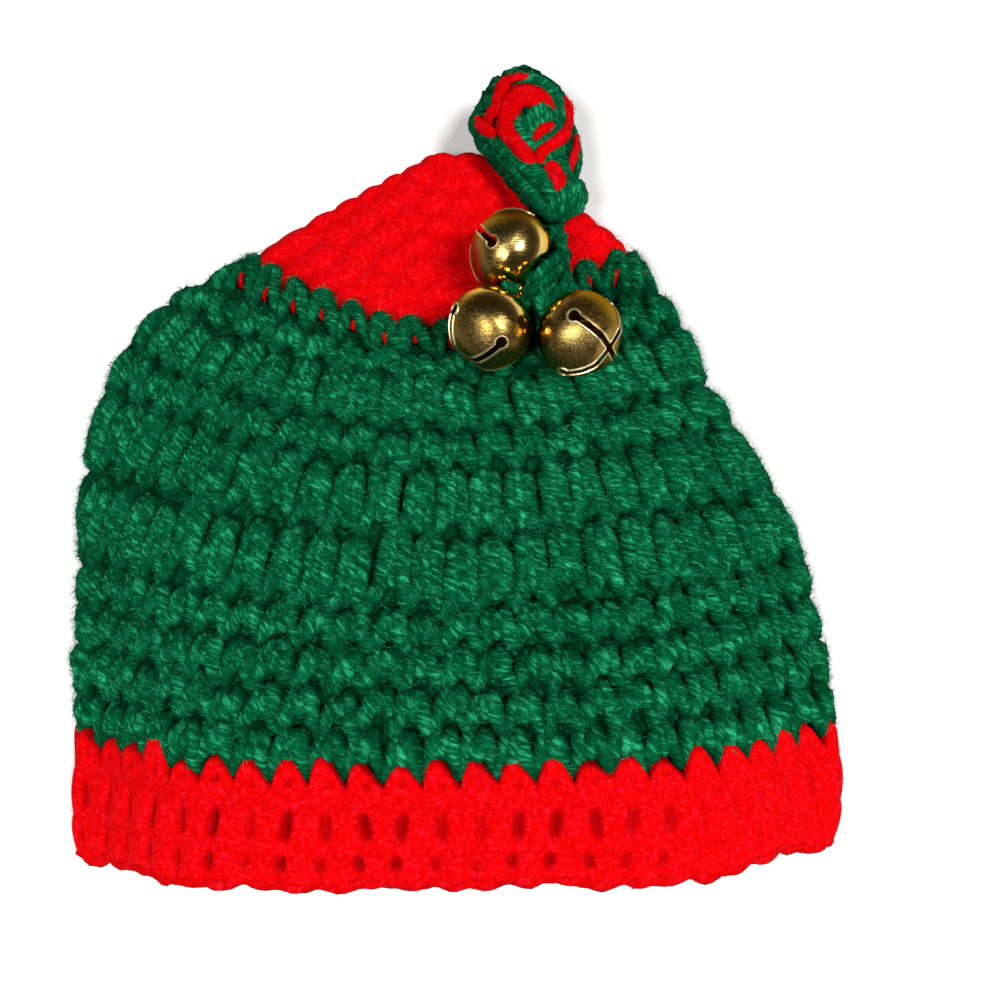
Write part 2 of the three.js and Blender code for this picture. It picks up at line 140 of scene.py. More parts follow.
FEWEST_RINGS, CURVE_SLACK = 6, 1.08     # fewest of them, and how much longer a curve is than its stations
# Loose fibres: number at a point of the yarn, length, and the depth below which the yarn has none
FUZZ = {"crown": 0.3, "body": 7.0, "band": 1.6, "knob": 1.2, "tie": 1.4}
EDGE_FUZZ = {"scallop": 1.3, "pointed": 0.4}
BACK_FUZZ = 0.04
FIBRE_LENGTH = {"crown": 1.8, "body": 2.0, "band": 1.6, "knob": 0.8, "tie": 0.9}
FIBRE_RADIUS = 0.065
FUZZ_LEVEL, FUZZ_RISE = -1.0, 0.1       # and only on the yarn's upper side, of the radius
FIBRE_STRAY, FIBRE_PRESS, FIBRE_RISE = 0.32, 0.7, 0.2    # off the twist, pressed back, and outward
FIBRE_SPREAD = (0.4, 1.6)       # shortest and longest, of the length
FIBRE_SHIFT, FIBRE_ROOT = 0.6, 0.1      # shift of its foot, and how deep it is rooted
# Fibres are lighter, so more of them take the lit colour, a painted highlight; they also take a share of the
# painted shade below them
FIBRE_TONE = (3.5, 4.5)         # lighter than the yarn, mean and spread
FIBRE_DEEP = 0.6                # share of the yarn's shade

# Stitches as strands: across in stitches, down in rounds, depth in millimetres. The two legs of a stitch
# come out of the pit above it and spread round the pit below it, and a strand fills the post between them.
SHORT_LEG = [
    (-0.08, -0.04, -3.9), (-0.17, 0.14, -2.7), (-0.25, 0.42, -1.8),
    (-0.33, 0.70, -1.8), (-0.46, 0.93, -2.1), (-0.52, 1.11, -3.1),
]
SHORT_MIDDLE = [
    (0.0, 0.08, -3.4), (0.0, 0.26, -2.0), (0.0, 0.44, -1.6), (0.0, 0.62, -2.3), (0.0, 0.74, -3.3),
]
TALL_LEG = [
    (-0.08, -0.03, -3.9), (-0.16, 0.10, -2.7), (-0.23, 0.28, -1.8), (-0.235, 0.55, -1.7),
    (-0.31, 0.80, -1.9), (-0.45, 0.95, -2.15), (-0.52, 1.06, -3.2),
]
TALL_MIDDLE = [
    (0.0, 0.05, -3.4), (0.0, 0.16, -2.0), (0.03, 0.40, -1.5),
    (-0.03, 0.62, -1.6), (0.0, 0.78, -2.4), (0.0, 0.85, -3.4),
]
# The last round of a colour, its legs end as points under the peaks of the next
POINTED_LEG = [
    (-0.08, -0.04, -3.9), (-0.17, 0.14, -2.6), (-0.25, 0.40, -1.9),
    (-0.34, 0.66, -2.3), (-0.44, 0.90, -2.7), (-0.50, 1.15, -3.2),
]
# The first round of a new colour, arches that lie over the round above: one side from its foot, the top
ARCH_SIDE = [
    (-0.52, 1.10, -3.7), (-0.44, 0.84, -2.9), (-0.33, 0.50, -2.0),
    (-0.25, 0.15, -1.6), (-0.18, -0.13, -1.5),
]
ARCH_TOP = (0.0, -0.27, -1.5)
# The loop of the colour above that shows inside each of those arches
SCALLOP_DOT = [(-0.01, 0.14, -2.6), (0.0, 0.26, -1.0), (0.01, 0.44, -0.9), (0.01, 0.58, -2.5)]
DOT_RADIUS = 0.6
ARCH_RADIUS = 1.75
# The felted band's upper edge, rounded peaks: distance down of their tops and of the valleys between them,
# how uneven they are; then their roundness, how high the felt stands, the width of its flank, their lean
PEAK_TOP, PEAK_VALLEY, PEAK_UNEVEN = 144.7, 150.1, 1.0
PEAK_POWER, PEAK_HEIGHT, PEAK_FLANK = 2.2, 0.5, 1.5
PEAK_TILT, TILT_UNEVEN, TILT_LIMIT = 0.22, 0.15, 1.5
# Below them slits between upright posts, and a small hole at each foot, as dents: across in stitches, down
# in rounds, half width, half height, depth
DENTS = {
    "peak": (0.0, 0.24, 0.8, 0.8, 1.5),
    "post": (0.05, 0.46, 0.9, 2.4, 2.6),
    "foot": (0.20, 0.36, 0.85, 1.2, 2.4),
}
# The dents fade toward the right fold, between these turns and to this share
DENT_FADE = (0.10, 0.16, 0.25)
# Their slant, and their depth: mean, unevenness, least and most
DENT_SLANT = 0.15
DENT_DEPTH = (0.85, 0.2, 0.4, 1.1)
# Depth of the felted ground between the stitches, and how much painted shade it carries
GROUND = {"crown": (-1.0, 0.0), "body": (-3.0, 0.88), "band": (-0.75, 0.0)}
# Soft bumps of the felt, one for a stitch, and how much painted shade its dents get
BUMPS = {"crown": 0.95, "band": 0.55}
BUMP_POWER = 0.7        # below 1 makes them flatter
DENT_SHADE = 0.4
# Fibres on a square centimetre of felt
FELT_FUZZ = {"crown": 55, "band": 55}
FELT_ROW = 0.5          # spacing of the rows of fibres
FELT_PROUD = 0.4        # they grow on felt that lies no deeper than this below its ground
FELT_RUN = (0.002, 0.4, 0.3)    # their direction: turns round, millimetres down and its spread
FELT_MARGIN = 4.0       # they keep this far from the tip and from the crown's lower edge
FELT_STRETCH = (4.0, 1.0, 1.0)  # of the pattern of fibres on the felt itself
SQUARE_CENTIMETRE = 100.0
# The wall's rings: share of their points on the front layer, then spacing, bumps, painted shade and gap
# inside
FRONT_SHARE = 0.75
INSIDE_STEP, INSIDE_BUMP, INSIDE_SHADE, INSIDE_GAP = 2.4, 0.7, 0.6, 0.1
# The ground sinks below the stitches of the next colour, between these distances down
SUNK_GROUND = -3.4
GROUND_SINKS = {"crown": (43.5, 47.5)}


def mirrored(leg):
    return [(-across, place, depth) for across, place, depth in leg]


STITCHES = {
    "short": [SHORT_LEG, mirrored(SHORT_LEG), SHORT_MIDDLE],
    "tall": [TALL_LEG, mirrored(TALL_LEG), TALL_MIDDLE],
    "pointed": [POINTED_LEG, mirrored(POINTED_LEG), SHORT_MIDDLE],
    "scallop": [ARCH_SIDE + [ARCH_TOP] + mirrored(ARCH_SIDE)[::-1]],
}
# These rounds stand stitch under stitch, the others are set off
IN_LINE = ("pointed", "peak", "post", "foot")
# Rolled edge of the mouth, the outer and the inner yarn: distance down, depth, radius
MOUTH_EDGE = ((167.3, -2.0, 1.9), (167.2, -3.5, 1.5))
EDGE_BUMP = 0.3

# Knob, as in the part's source
KNOB_HEAD = np.array([17.6, 96.4, 13.2])
KNOB_NECK = np.array([25.4, 71.2, 17.5])
KNOB_PROFILE = np.array([
    (-12.3, 0.0), (-11.2, 5.6), (-7.6, 9.8), (-2.0, 12.8), (4.0, 12.3),
    (10.0, 10.4), (17.0, 8.2), (23.5, 6.8), (28.0, 4.2), (29.4, 0.0),
])
KNOB_LEAN = ((-12.3, -8, 0, 10, 29.4), (-3.0, -0.9, 0.0, 0.25, 0.4))    # outward slope along the knob
# Windings round the knob: stations along it; depth of their middle and the depth that sets their painted
# shade, radius
KNOB_WINDINGS = 20
WINDING_ALONG = (-10.6, -6.0, 4.0, 16.0, 27.0)
WINDING_DEPTH, WINDING_SHADE, WINDING_RADIUS = -2.3, -2.7, 1.9
WINDING_POINTS, WINDING_FUZZ, WINDING_CLEARANCE = 30, 0.3, 0.4
WINDING_SWAY, WINDING_UNEVEN = 9, 5     # degrees round the knob from station to station
KNOB_FLAT, KNOB_SIDES = 0.75, 12     # strands over the knob are pressed flat
STRAND_RISE, STRAND_END, STRAND_POINTS = 0.15, 0.5, 9   # above it, sunk at the ends, points for a station
STRAND_CLEARANCE = 0.6  # above the hat, of the radius
# Core under the windings: its reach along the knob, rings and sides; its depth, which is at most a share of
# the knob's radius, its clearance over the hat and its lowest height
CORE_ALONG, CORE_RINGS, CORE_SIDES = (-11.9, 28.6), 40, 48
CORE_DEPTH, CORE_SHARE, CORE_CLEARANCE, CORE_LOWEST = 2.2, 0.8, 0.2, 0.4
# Strands over the knob: colour, radius, then stations along it, round it in degrees, and how far proud
KNOB_STRANDS = [
    ("green", 1.6, [(6.3, -17, 0), (8.8, -21, 0), (12.0, -19, 0), (14.7, -14, 0)]),
    ("green", 1.5, [(9.7, -24, 0), (8.2, -4, 0.2), (6.1, 15, 0.2), (5.0, 30, 0)]),
    ("green", 1.5, [(11.5, -17, 0), (9.9, 1, 0.2), (8.1, 22, 0.2), (6.5, 38, 0)]),
    ("green", 1.4, [(13.8, -16, 0), (13.9, 3, 0.1), (11.9, 25, 0.1), (9.9, 40, 0)]),
    ("green", 1.3, [(18.9, -8, 0), (17.2, 13, 0.1), (15.8, 31, 0.1), (13.0, 52, 0)]),
    ("green", 1.7, [(-2.4, -4, 0), (-1.6, 14, 0.2), (0.4, 34, 0.2), (3.5, 45, 0.1), (8.0, 50, 0)]),
    ("green", 1.5, [(0.9, 6, 0), (1.7, 24, 0.2), (3.3, 36, 0.2), (6.2, 40, 0)]),
    ("green", 1.5, [(-1.3, -30, 0), (-1.2, -44, 0.2), (-1.7, -58, 0.4), (-0.8, -70, 0.8)]),
    ("green", 2.0, [(-3.0, -62, 0.2), (-0.6, -72, 1.8), (2.0, -76, 1.0), (6.3, -66, 0.4), (10.7, -54, 0.4),
                    (15.4, -47, 0.2)]),
    ("green", 2.0, [(0.0, -86, 1.0), (4.0, -82, 1.2), (7.6, -77, 0.6), (11.6, -67, 0.5), (16.2, -59, 0.4),
                    (20.6, -53, 0.3)]),
    ("green", 1.9, [(9.0, -54, 0), (12.4, -50, 0.4), (15.9, -44, 0.5), (19.7, -35, 0.5), (23.7, -30, 0.3)]),
    ("green", 1.9, [(17.0, -64, 0), (20.0, -60, 0.4), (23.4, -55, 0.5), (26.0, -58, 0.4), (28.4, -70, 0)]),
    ("green", 1.8, [(16.5, -26, 0), (19.0, -24, 0.4), (21.4, -18, 0.4), (24.2, -13, 0.4), (27.4, -10, 0)]),
    ("green", 1.8, [(17.5, 30, 0), (19.6, 35, 0.3), (21.6, 42, 0.5), (23.0, 56, 0.8), (22.3, 84, 0.8)]),
    ("green", 2.1, [(27.4, -36, 0), (26.6, 4, 0.7), (24.7, 44, 1.2), (23.1, 81, 1.8), (22.0, 110, 1.0)]),
    ("green", 2.0, [(28.4, -46, 0), (28.0, 11, 0.8), (26.3, 60, 1.6), (24.4, 96, 2.5), (22.5, 130, 1.0)]),
    ("green", 1.8, [(29.0, 0, 0.4), (28.2, 60, 1.6), (26.6, 96, 2.2), (24.5, 130, 1.0)]),
    ("green", 1.6, [(6.0, 78, 0.3), (9.0, 82, 1.0), (12.0, 86, 1.6), (15.5, 85, 1.6), (20.0, 84, 0.8)]),
    ("red", 1.9, [(-5.0, -8, 0), (-2.6, -17, 0.4), (-1.0, -24, 0.5), (0.3, -32, 0.3), (1.6, -40, 0)]),
    ("red", 1.7, [(3.0, -14, 0), (2.5, -32, 0.4), (2.0, -45, 0.5), (2.2, -56, 0.2)]),
    ("red", 1.6, [(-2.4, -66, 0.6), (0.7, -66, 0.8), (3.5, -61, 0.6), (6.4, -55, 0.2)]),
    ("red", 0.9, [(-2.6, -14, 0.1), (-1.9, -2, 0.3), (-1.9, 12, 0.1)]),
    ("red", 1.8, [(5.4, 16, 0), (4.2, 6, 0.3), (3.6, -6, 0.4), (4.4, -18, 0.3), (6.4, -24, 0)]),
    ("red", 2.2, [(6.0, 33, 0.1), (4.3, 23, 0.6), (2.7, 11, 0.7), (1.7, -2, 0.7), (1.8, -15, 0.7),
                  (2.9, -24, 0.7), (4.9, -31, 0.7), (7.0, -36, 0.7), (9.0, -37, 0.7), (11.7, -33, 0.7),
                  (14.3, -31, 0.6), (18.2, -27, 0.1)]),
    ("red", 1.3, [(5.0, -40, 0.1), (7.4, -42, 0.4), (9.4, -41, 0.3), (12.0, -38, 0)]),
    ("red", 1.05, [(2.5, 50, 0), (5.4, 53, 0.3), (7.3, 60, 0.3), (10.0, 56, 0)]),
    ("red", 0.95, [(0.6, 60, 0), (4.0, 63, 0.4), (8.0, 70, 0)]),
    ("red", 1.3, [(12.6, -7, 0.1), (11.4, 7, 0.5), (9.8, 29, 0.1)]),
    ("red", 1.5, [(17.4, -14, 0.1), (15.9, -1, 0.6), (14.5, 21, 0.6), (11.7, 46, 0.6), (8.0, 61, 0.1)]),
    ("red", 1.1, [(8.6, 82, 1.0), (11.5, 78, 0.9), (14.5, 71, 0.7), (20.2, 52, 0.1)]),
    ("red", 1.1, [(19.7, -6, 0.1), (19.8, 9, 0.6), (22.2, 24, 0.2)]),
    ("red", 1.15, [(20.6, -2, 0.2), (22.8, 4, 0.7), (25.4, 4, 0.2)]),
    ("red", 1.05, [(21.4, 20, 0.2), (23.4, 18, 0.7), (25.3, 6, 0.2)]),
]

# Cord over the crown and its knot, heights above the hat
ABOVE_ALL = 60.0        # the hat's top is looked for from this height down
TREE_STRIDE = 4         # of the skin's rows and columns, every fourth is enough for that
CORD_ROUTE = [
    (25.3, 72.6, 4.8), (24.9, 69.8, 3.4), (25.0, 66.1, 2.6), (25.6, 62.5, 2.5), (25.8, 58.8, 2.7),
    (24.4, 55.2, 3.4), (22.4, 52.0, 4.2),
]
CORD_STRANDS, CORD_TURNS, CORD_POINTS = 3, 1.6, 60
CORD_STRAND_RADIUS = 1.6
CORD_LAY = 1.4          # distance of a strand from the cord's middle
# Strands of the knot between the bells, as places, and the strand through each bell's loop
KNOT_STRAND_RADIUS, KNOT_POINTS = 1.45, 26
LOOP_STRAND_RADIUS, LOOP_POINTS, LOOP_CLEARANCE = 0.9, 44, 1.2
# It leaves the knot's middle to one side, passes the loop a little above the eye's middle and comes back
LOOP_HUB, LOOP_BEND, LOOP_DROP, LOOP_RISE = 1.5, 3.0, 0.5, 0.1
KNOT_MIDDLE = (21.0, 48.4, 22.4)
KNOT_STRANDS = [
    [(26.3, 63.5, 19.0), (25.6, 59.1, 22.0), (23.0, 54.3, 26.5), (20.3, 51.5, 27.0), (18.2, 50.6, 24.0)],
    [(26.7, 60.6, 19.0), (25.2, 55.3, 23.0), (22.7, 51.1, 26.5), (19.9, 49.0, 26.0), (17.8, 48.2, 23.0)],
    [(26.9, 57.6, 19.0), (26.4, 51.9, 22.0), (24.6, 47.5, 24.0), (22.7, 44.7, 23.0)],
    [(25.2, 55.2, 20.0), (22.3, 49.2, 25.0), (20.8, 45.8, 25.5), (22.2, 43.1, 23.0)],
    [(22.1, 52.4, 22.0), (18.6, 49.6, 24.0), (17.1, 47.3, 23.0), (19.0, 45.5, 21.0)],
    [(26.3, 54.7, 20.0), (27.8, 51.0, 21.0), (26.8, 47.4, 21.5), (24.1, 45.5, 21.0)],
    [(18.3, 49.6, 22.0), (20.8, 46.4, 25.0), (23.6, 45.7, 25.0), (26.1, 49.1, 22.0)],
    [(23.7, 51.7, 22.0), (24.3, 47.3, 25.0), (23.2, 44.1, 25.0), (20.9, 43.5, 22.0)],
]

# Bells
BELL_RADIUS = 9.4
BELL_WALL = 0.75
BELL_SLOT = 1.8
BELL_SLOT_TURN = 76.0
BELL_HOLE = 3.0
BELL_RIM = 0.28         # radius of the turned edge round the slots
CUT_OVER = 2.0          # slots and holes are cut from this far outside the ball
ON_AXIS = 1e-6          # a smaller radius is a point on the bell's axis
BELL_FLAT_TURN = 29.0   # the slotted end is flat within this turn from its middle
BELL_FLAT_RISE = 0.3    # what is left there of the ball's rise
BELL_PETAL_POWER = 1.55  # below 2 makes the four petals flatter
BELL_SQUASH = 0.95      # height of the ball, of its width
BELL_SEAM, SEAM_TURN, SEAM_SPREAD = 0.10, 1.75, 0.03     # seam round the middle: depth, place and width
PETAL_END, PETAL_FADE = 96.0, 45.0      # degrees from the slotted end where the petals stop
# The petals' mask also sets where their speckled painted shade stops
DULL_END, DULL_FADE = 115.0, 25.0       # and where they stop being dull
SHARP_TURN = 35.0       # edges sharper than this stay sharp
# Fineness of the ball, its hollow, the slots, their holes and edges, and the loop
SHELL_SIDES, SHELL_STEPS, HOLLOW_SIDES, HOLLOW_STEPS = 80, 49, 40, 25
ARM_STEPS, ROUND_STEPS, HOLE_SIDES, RIM_SIDES = 16, 18, 28, 6
LOOP_STEPS, WIRE_SIDES = 30, 10
BELL_LOOP, BELL_LOOP_SINK = 1.7, 0.9    # radius of the loop, and how far it is set into the ball
BELL_WIRE = 1.1
# Name, centre, direction of the slotted end, direction of the first slot
BELLS = [
    ("bell_1", (14.2, 58.8, 22.4), (-0.74, 0.67, 0.04), (-0.26, -0.34, 0.91)),
    ("bell_2", (9.7, 40.0, 25.0), (-0.60, -0.79, -0.12), (0.43, -0.45, 0.78)),
    ("bell_3", (29.3, 38.2, 25.7), (0.72, -0.53, 0.46), (-0.41, 0.22, 0.89)),
]

# Camera of the photograph: place, tilt from straight down, lens and sensor; in metres, where its view starts
CAMERA_PLACE = (12.0, -20.0, 182.0)
CAMERA_TILT = 8.0
CAMERA_LENS, CAMERA_SENSOR = 27.0, 36.0
CAMERA_NEAR = 0.005

# Stage, in metres: half the table, lights by name, place, width and power, and the room's colours by height
TABLE_HALF = 3.0
LIGHTS = (("left", (-0.44, -0.52, 1.10), 0.40, 12.5), ("right", (0.64, -0.13, 1.13), 0.40, 16.0))
ROOM = ((0.0, (0.32, 0.27, 0.20)), (0.30, (0.095, 0.078, 0.05)), (1.0, (0.03, 0.025, 0.02)))
ROOM_STRENGTH = 0.5


# Helpers

def unit(vectors):
    """The same directions with a length of 1."""
    return vectors / (np.linalg.norm(vectors, axis=-1, keepdims=True) + TINY)


def ring_quads(rings, columns, joined=False):
    """Faces between neighbouring rings of points, also from the last to the first where they are joined."""
    k = np.arange(columns)
    k1 = (k + 1) % columns
    a = columns * np.arange(rings if joined else rings - 1)[:, None]
    b = (a + columns) % (rings * columns)
    return np.stack([a + k, a + k1, b + k1, b + k], -1).reshape(-1, 4)


def path_frame(paths, normals):
    """Directions along paths, across them and outward."""
    along = unit(np.gradient(paths, axis=-2))
    across = unit(np.cross(along, normals))
    return along, across, np.cross(across, along)


def bumps_round(side, bumps):
    """Sum of soft bumps round the hat: size, turn, width."""
    return sum(size * np.exp(-((side - middle) / width) ** 2) for size, middle, width in bumps)


# The hat's outer skin

def hat_value(name, down):
    """One column of the hat's table at a distance down from the tip, on a smooth curve."""
    x = HAT_LINES[:, 0]
    y = HAT_LINES[:, HAT_COLUMNS.index(name)]
    last = len(x) - 1
    i = int(np.clip(np.searchsorted(x, down) - 1, 0, last - 1))
    ends = [(max(k - 1, 0), min(k + 1, last)) for k in (i, i + 1)]
    slope = [(y[b] - y[a]) / (x[b] - x[a]) for a, b in ends]
    step = x[i + 1] - x[i]
    t = (down - x[i]) / step
    return ((2 * t ** 3 - 3 * t ** 2 + 1) * y[i] + (t ** 3 - 2 * t ** 2 + t) * step * slope[0]
            + (3 * t ** 2 - 2 * t ** 3) * y[i + 1] + (t ** 3 - t ** 2) * step * slope[1])


def plan_arc(down):
    """The line across the hat in plan: lengths to both folds, and places by distance from its middle."""
    left = np.array([hat_value("left_x", down), hat_value("left_y", down)])
    mid = np.array([hat_value("mid_x", down), TIP_Y - down])
    right = np.array([hat_value("right_x", down), hat_value("right_y", down)])
    a, b = left - mid, right - mid
    cross = 2 * (a[0] * b[1] - a[1] * b[0])
    aa, bb = a @ a, b @ b
    centre = np.array([(b[1] * aa - a[1] * bb) / cross, (a[0] * bb - b[0] * aa) / cross])
    radius = np.hypot(*centre)
    start = math.atan2(-centre[1], -centre[0])

    def swing(p):
        turn = math.atan2(p[1] - centre[1], p[0] - centre[0]) - start
        return math.atan2(math.sin(turn), math.cos(turn))

    turn_left, turn_right = swing(a), swing(b)

    def at(distance):
        sign = np.where(distance < 0, np.sign(turn_left), np.sign(turn_right))
        angle = start + sign * np.abs(distance) / radius
        return mid[0] + centre[0] + radius * np.cos(angle), mid[1] + centre[1] + radius * np.sin(angle)

    return abs(turn_left) * radius, abs(turn_right) * radius, at


def hat_ring(down, count):
    """Points round the hat, from the right fold over the front to the left fold and back underneath."""
    half = FOLD_HEIGHT / 2
    shut = math.sqrt(1 - (1 - down / half) ** 2) if down < half else 1.0
    reach_left, reach_right, at = plan_arc(max(down, TIP_START))
    top = hat_value("top", down)
    bend = min(half, FOLD_SHARE * reach_left, FOLD_SHARE * reach_right)
    side = np.cos(np.linspace(0, math.pi, RING_SAMPLES))
    distance = np.where(side < 0, side * reach_left, side * reach_right)
    reach = np.where(side < 0, reach_left, reach_right)
    out = np.maximum(0, np.abs(distance) - (reach - bend)) / bend
    cap = half * np.sqrt(np.maximum(0, 1 - out ** 2))
    flat = np.minimum(1, np.abs(distance) / (reach - bend))
    dome = np.maximum(0, 1 - flat ** DOME_POWER) ** DOME_FALL
    x, y = at(distance)
    layers = []
    for z in (half + cap + (top - FOLD_HEIGHT) * dome, half - cap):
        line = np.stack([x, y, half + (z - half) * shut], 1)
        lengths = np.concatenate([[0], np.cumsum(np.linalg.norm(np.diff(line, axis=0), axis=1))])
        want = np.linspace(0, lengths[-1], count // 2 + 1)
        layers.append(np.stack([np.interp(want, lengths, line[:, k]) for k in range(3)], 1))
    return np.concatenate([layers[0][:-1], layers[1][::-1][:-1]])


# A fine grid of it: spacing of its rows, distance down of the first, how far they go on past the mouth,
# places round the hat, and what keeps a place above the last row
SKIN_STEP, SKIN_START, SKIN_PAST = 0.5, 0.25, 2.0
SKIN_COLUMNS = 768
SKIN_MARGIN = 0.001
SKIN_DOWN = np.arange(SKIN_START, HAT_LINES[-1, 0] + SKIN_PAST, SKIN_STEP)
skin_points = np.stack([hat_ring(min(d, HAT_LINES[-1, 0]), SKIN_COLUMNS) for d in SKIN_DOWN])
for row, d in enumerate(SKIN_DOWN):
    skin_points[row, :, 1] -= max(0.0, d - HAT_LINES[-1, 0])
skin_round = np.roll(skin_points, -1, 1) - np.roll(skin_points, 1, 1)
skin_along = np.gradient(skin_points, axis=0)
skin_normals = unit(np.cross(skin_along, skin_round))
if skin_normals[len(SKIN_DOWN) // 2, SKIN_COLUMNS // 4, 2] < 0:
    skin_normals *= -1


def drawn_down(turn, down):
    """Distance down with the pulls at the crown's edge and the waves of the mouth."""
    side = np.mod(turn + 0.25, 1.0) - 0.25     # wraps in the middle of the underside
    pull = bumps_round(side, PULLS) * np.exp(-((down - PULL_DOWN) / PULL_LENGTH) ** 2)
    wave = bumps_round(side, DROOPS)
    for height, count, start in MOUTH_WAVES:
        wave = wave + height * np.sin(2 * math.pi * count * turn + start)
    mouth = np.clip(1 - (HAT_LINES[-1, 0] - down) / MOUTH_REACH, 0, 1) ** 2
    return down + pull + wave * mouth


def on_skin(turn, down, height):
    """Points on the hat and their normals, from the turn round it, the distance down and the height."""
    turn, down, height = np.broadcast_arrays(turn, down, height)
    down = drawn_down(turn, down)
    row = np.clip((down - SKIN_START) / SKIN_STEP, 0, len(SKIN_DOWN) - 1 - SKIN_MARGIN)
    column = np.mod(turn, 1.0) * SKIN_COLUMNS
    r0 = row.astype(int)
    c0 = column.astype(int) % SKIN_COLUMNS
    c1 = (c0 + 1) % SKIN_COLUMNS
    fr = (row - r0)[..., None]
    fc = (column - np.floor(column))[..., None]

    def pick(grid):
        upper = grid[r0, c0] * (1 - fc) + grid[r0, c1] * fc
        lower = grid[r0 + 1, c0] * (1 - fc) + grid[r0 + 1, c1] * fc
        return upper * (1 - fr) + lower * fr

    normal = unit(pick(skin_normals))
    return pick(skin_points) + normal * height[..., None], normal


def count_stitches(start, end):
    """Stitches in a round, from its length round the hat."""
    ring = hat_ring(0.5 * (start + end), GIRTH_POINTS)
    length = np.linalg.norm(np.roll(ring, -1, 0) - ring, axis=1).sum()
    return max(FEWEST_STITCHES, round(length / STITCH_WIDTH))


def lean_of_round(turn, down):
    """How far the hat's columns lean from upright at a round, in turns for each millimetre down."""
    ahead, behind = (on_skin(turn + step, down, 0.0)[0] for step in (LEAN_STEP, -LEAN_STEP))
    round_way = (ahead - behind) / (2 * LEAN_STEP)
    down_way = (on_skin(turn, down + 1.0, 0.0)[0] - on_skin(turn, down - 1.0, 0.0)[0]) / 2
    return (down_way * round_way).sum(-1) / (round_way ** 2).sum(-1)


# Meshes

def make_mesh(name, verts, faces, material, attributes=None, smooth=True):
    """A mesh object from points in millimetres and arrays of faces, each with its own number of corners."""
    mesh = bpy.data.meshes.new(name)
    mesh.vertices.add(len(verts))
    mesh.vertices.foreach_set("co", (np.asarray(verts, np.float32) * MM).ravel())
    corners = np.concatenate([f.ravel() for f in faces]).astype(np.int32)
    sizes = np.concatenate([np.full(len(f), f.shape[1]) for f in faces])
    starts = np.concatenate([[0], np.cumsum(sizes)[:-1]]).astype(np.int32)
    mesh.loops.add(len(corners))
    mesh.loops.foreach_set("vertex_index", corners)
    mesh.polygons.add(len(sizes))
    mesh.polygons.foreach_set("loop_start", starts)
    mesh.update(calc_edges=True)
    mesh.validate()
    if smooth:
        mesh.shade_smooth()
    for key, values in (attributes or {}).items():
        values = np.asarray(values, np.float32)
        kind, field = ("FLOAT", "value") if values.ndim == 1 else ("FLOAT_VECTOR", "vector")
        mesh.attributes.new(key, kind, "POINT").data.foreach_set(field, values.ravel())
    piece = bpy.data.objects.new(name, mesh)
    bpy.context.scene.collection.objects.link(piece)
    mesh.materials.append(material)
    return piece


def smooth_path(stations, samples):
    """Catmull-Rom curve through stations (..., k, columns) at evenly spaced samples."""
    stations = np.asarray(stations, float)
    first = 2 * stations[..., :1, :] - stations[..., 1:2, :]
    last = 2 * stations[..., -1:, :] - stations[..., -2:-1, :]
    points = np.concatenate([first, stations, last], -2)
    t = np.linspace(0, stations.shape[-2] - 1, samples)
    i = np.minimum(t.astype(int), stations.shape[-2] - 2)
    f = (t - i)[:, None]
    p0, p1, p2, p3 = (points[..., i + k, :] for k in range(4))
    return 0.5 * (2 * p1 + (p2 - p0) * f + (2 * p0 - 5 * p1 + 4 * p2 - p3) * f ** 2
                  + (3 * p1 - p0 - 3 * p2 + p3) * f ** 3)


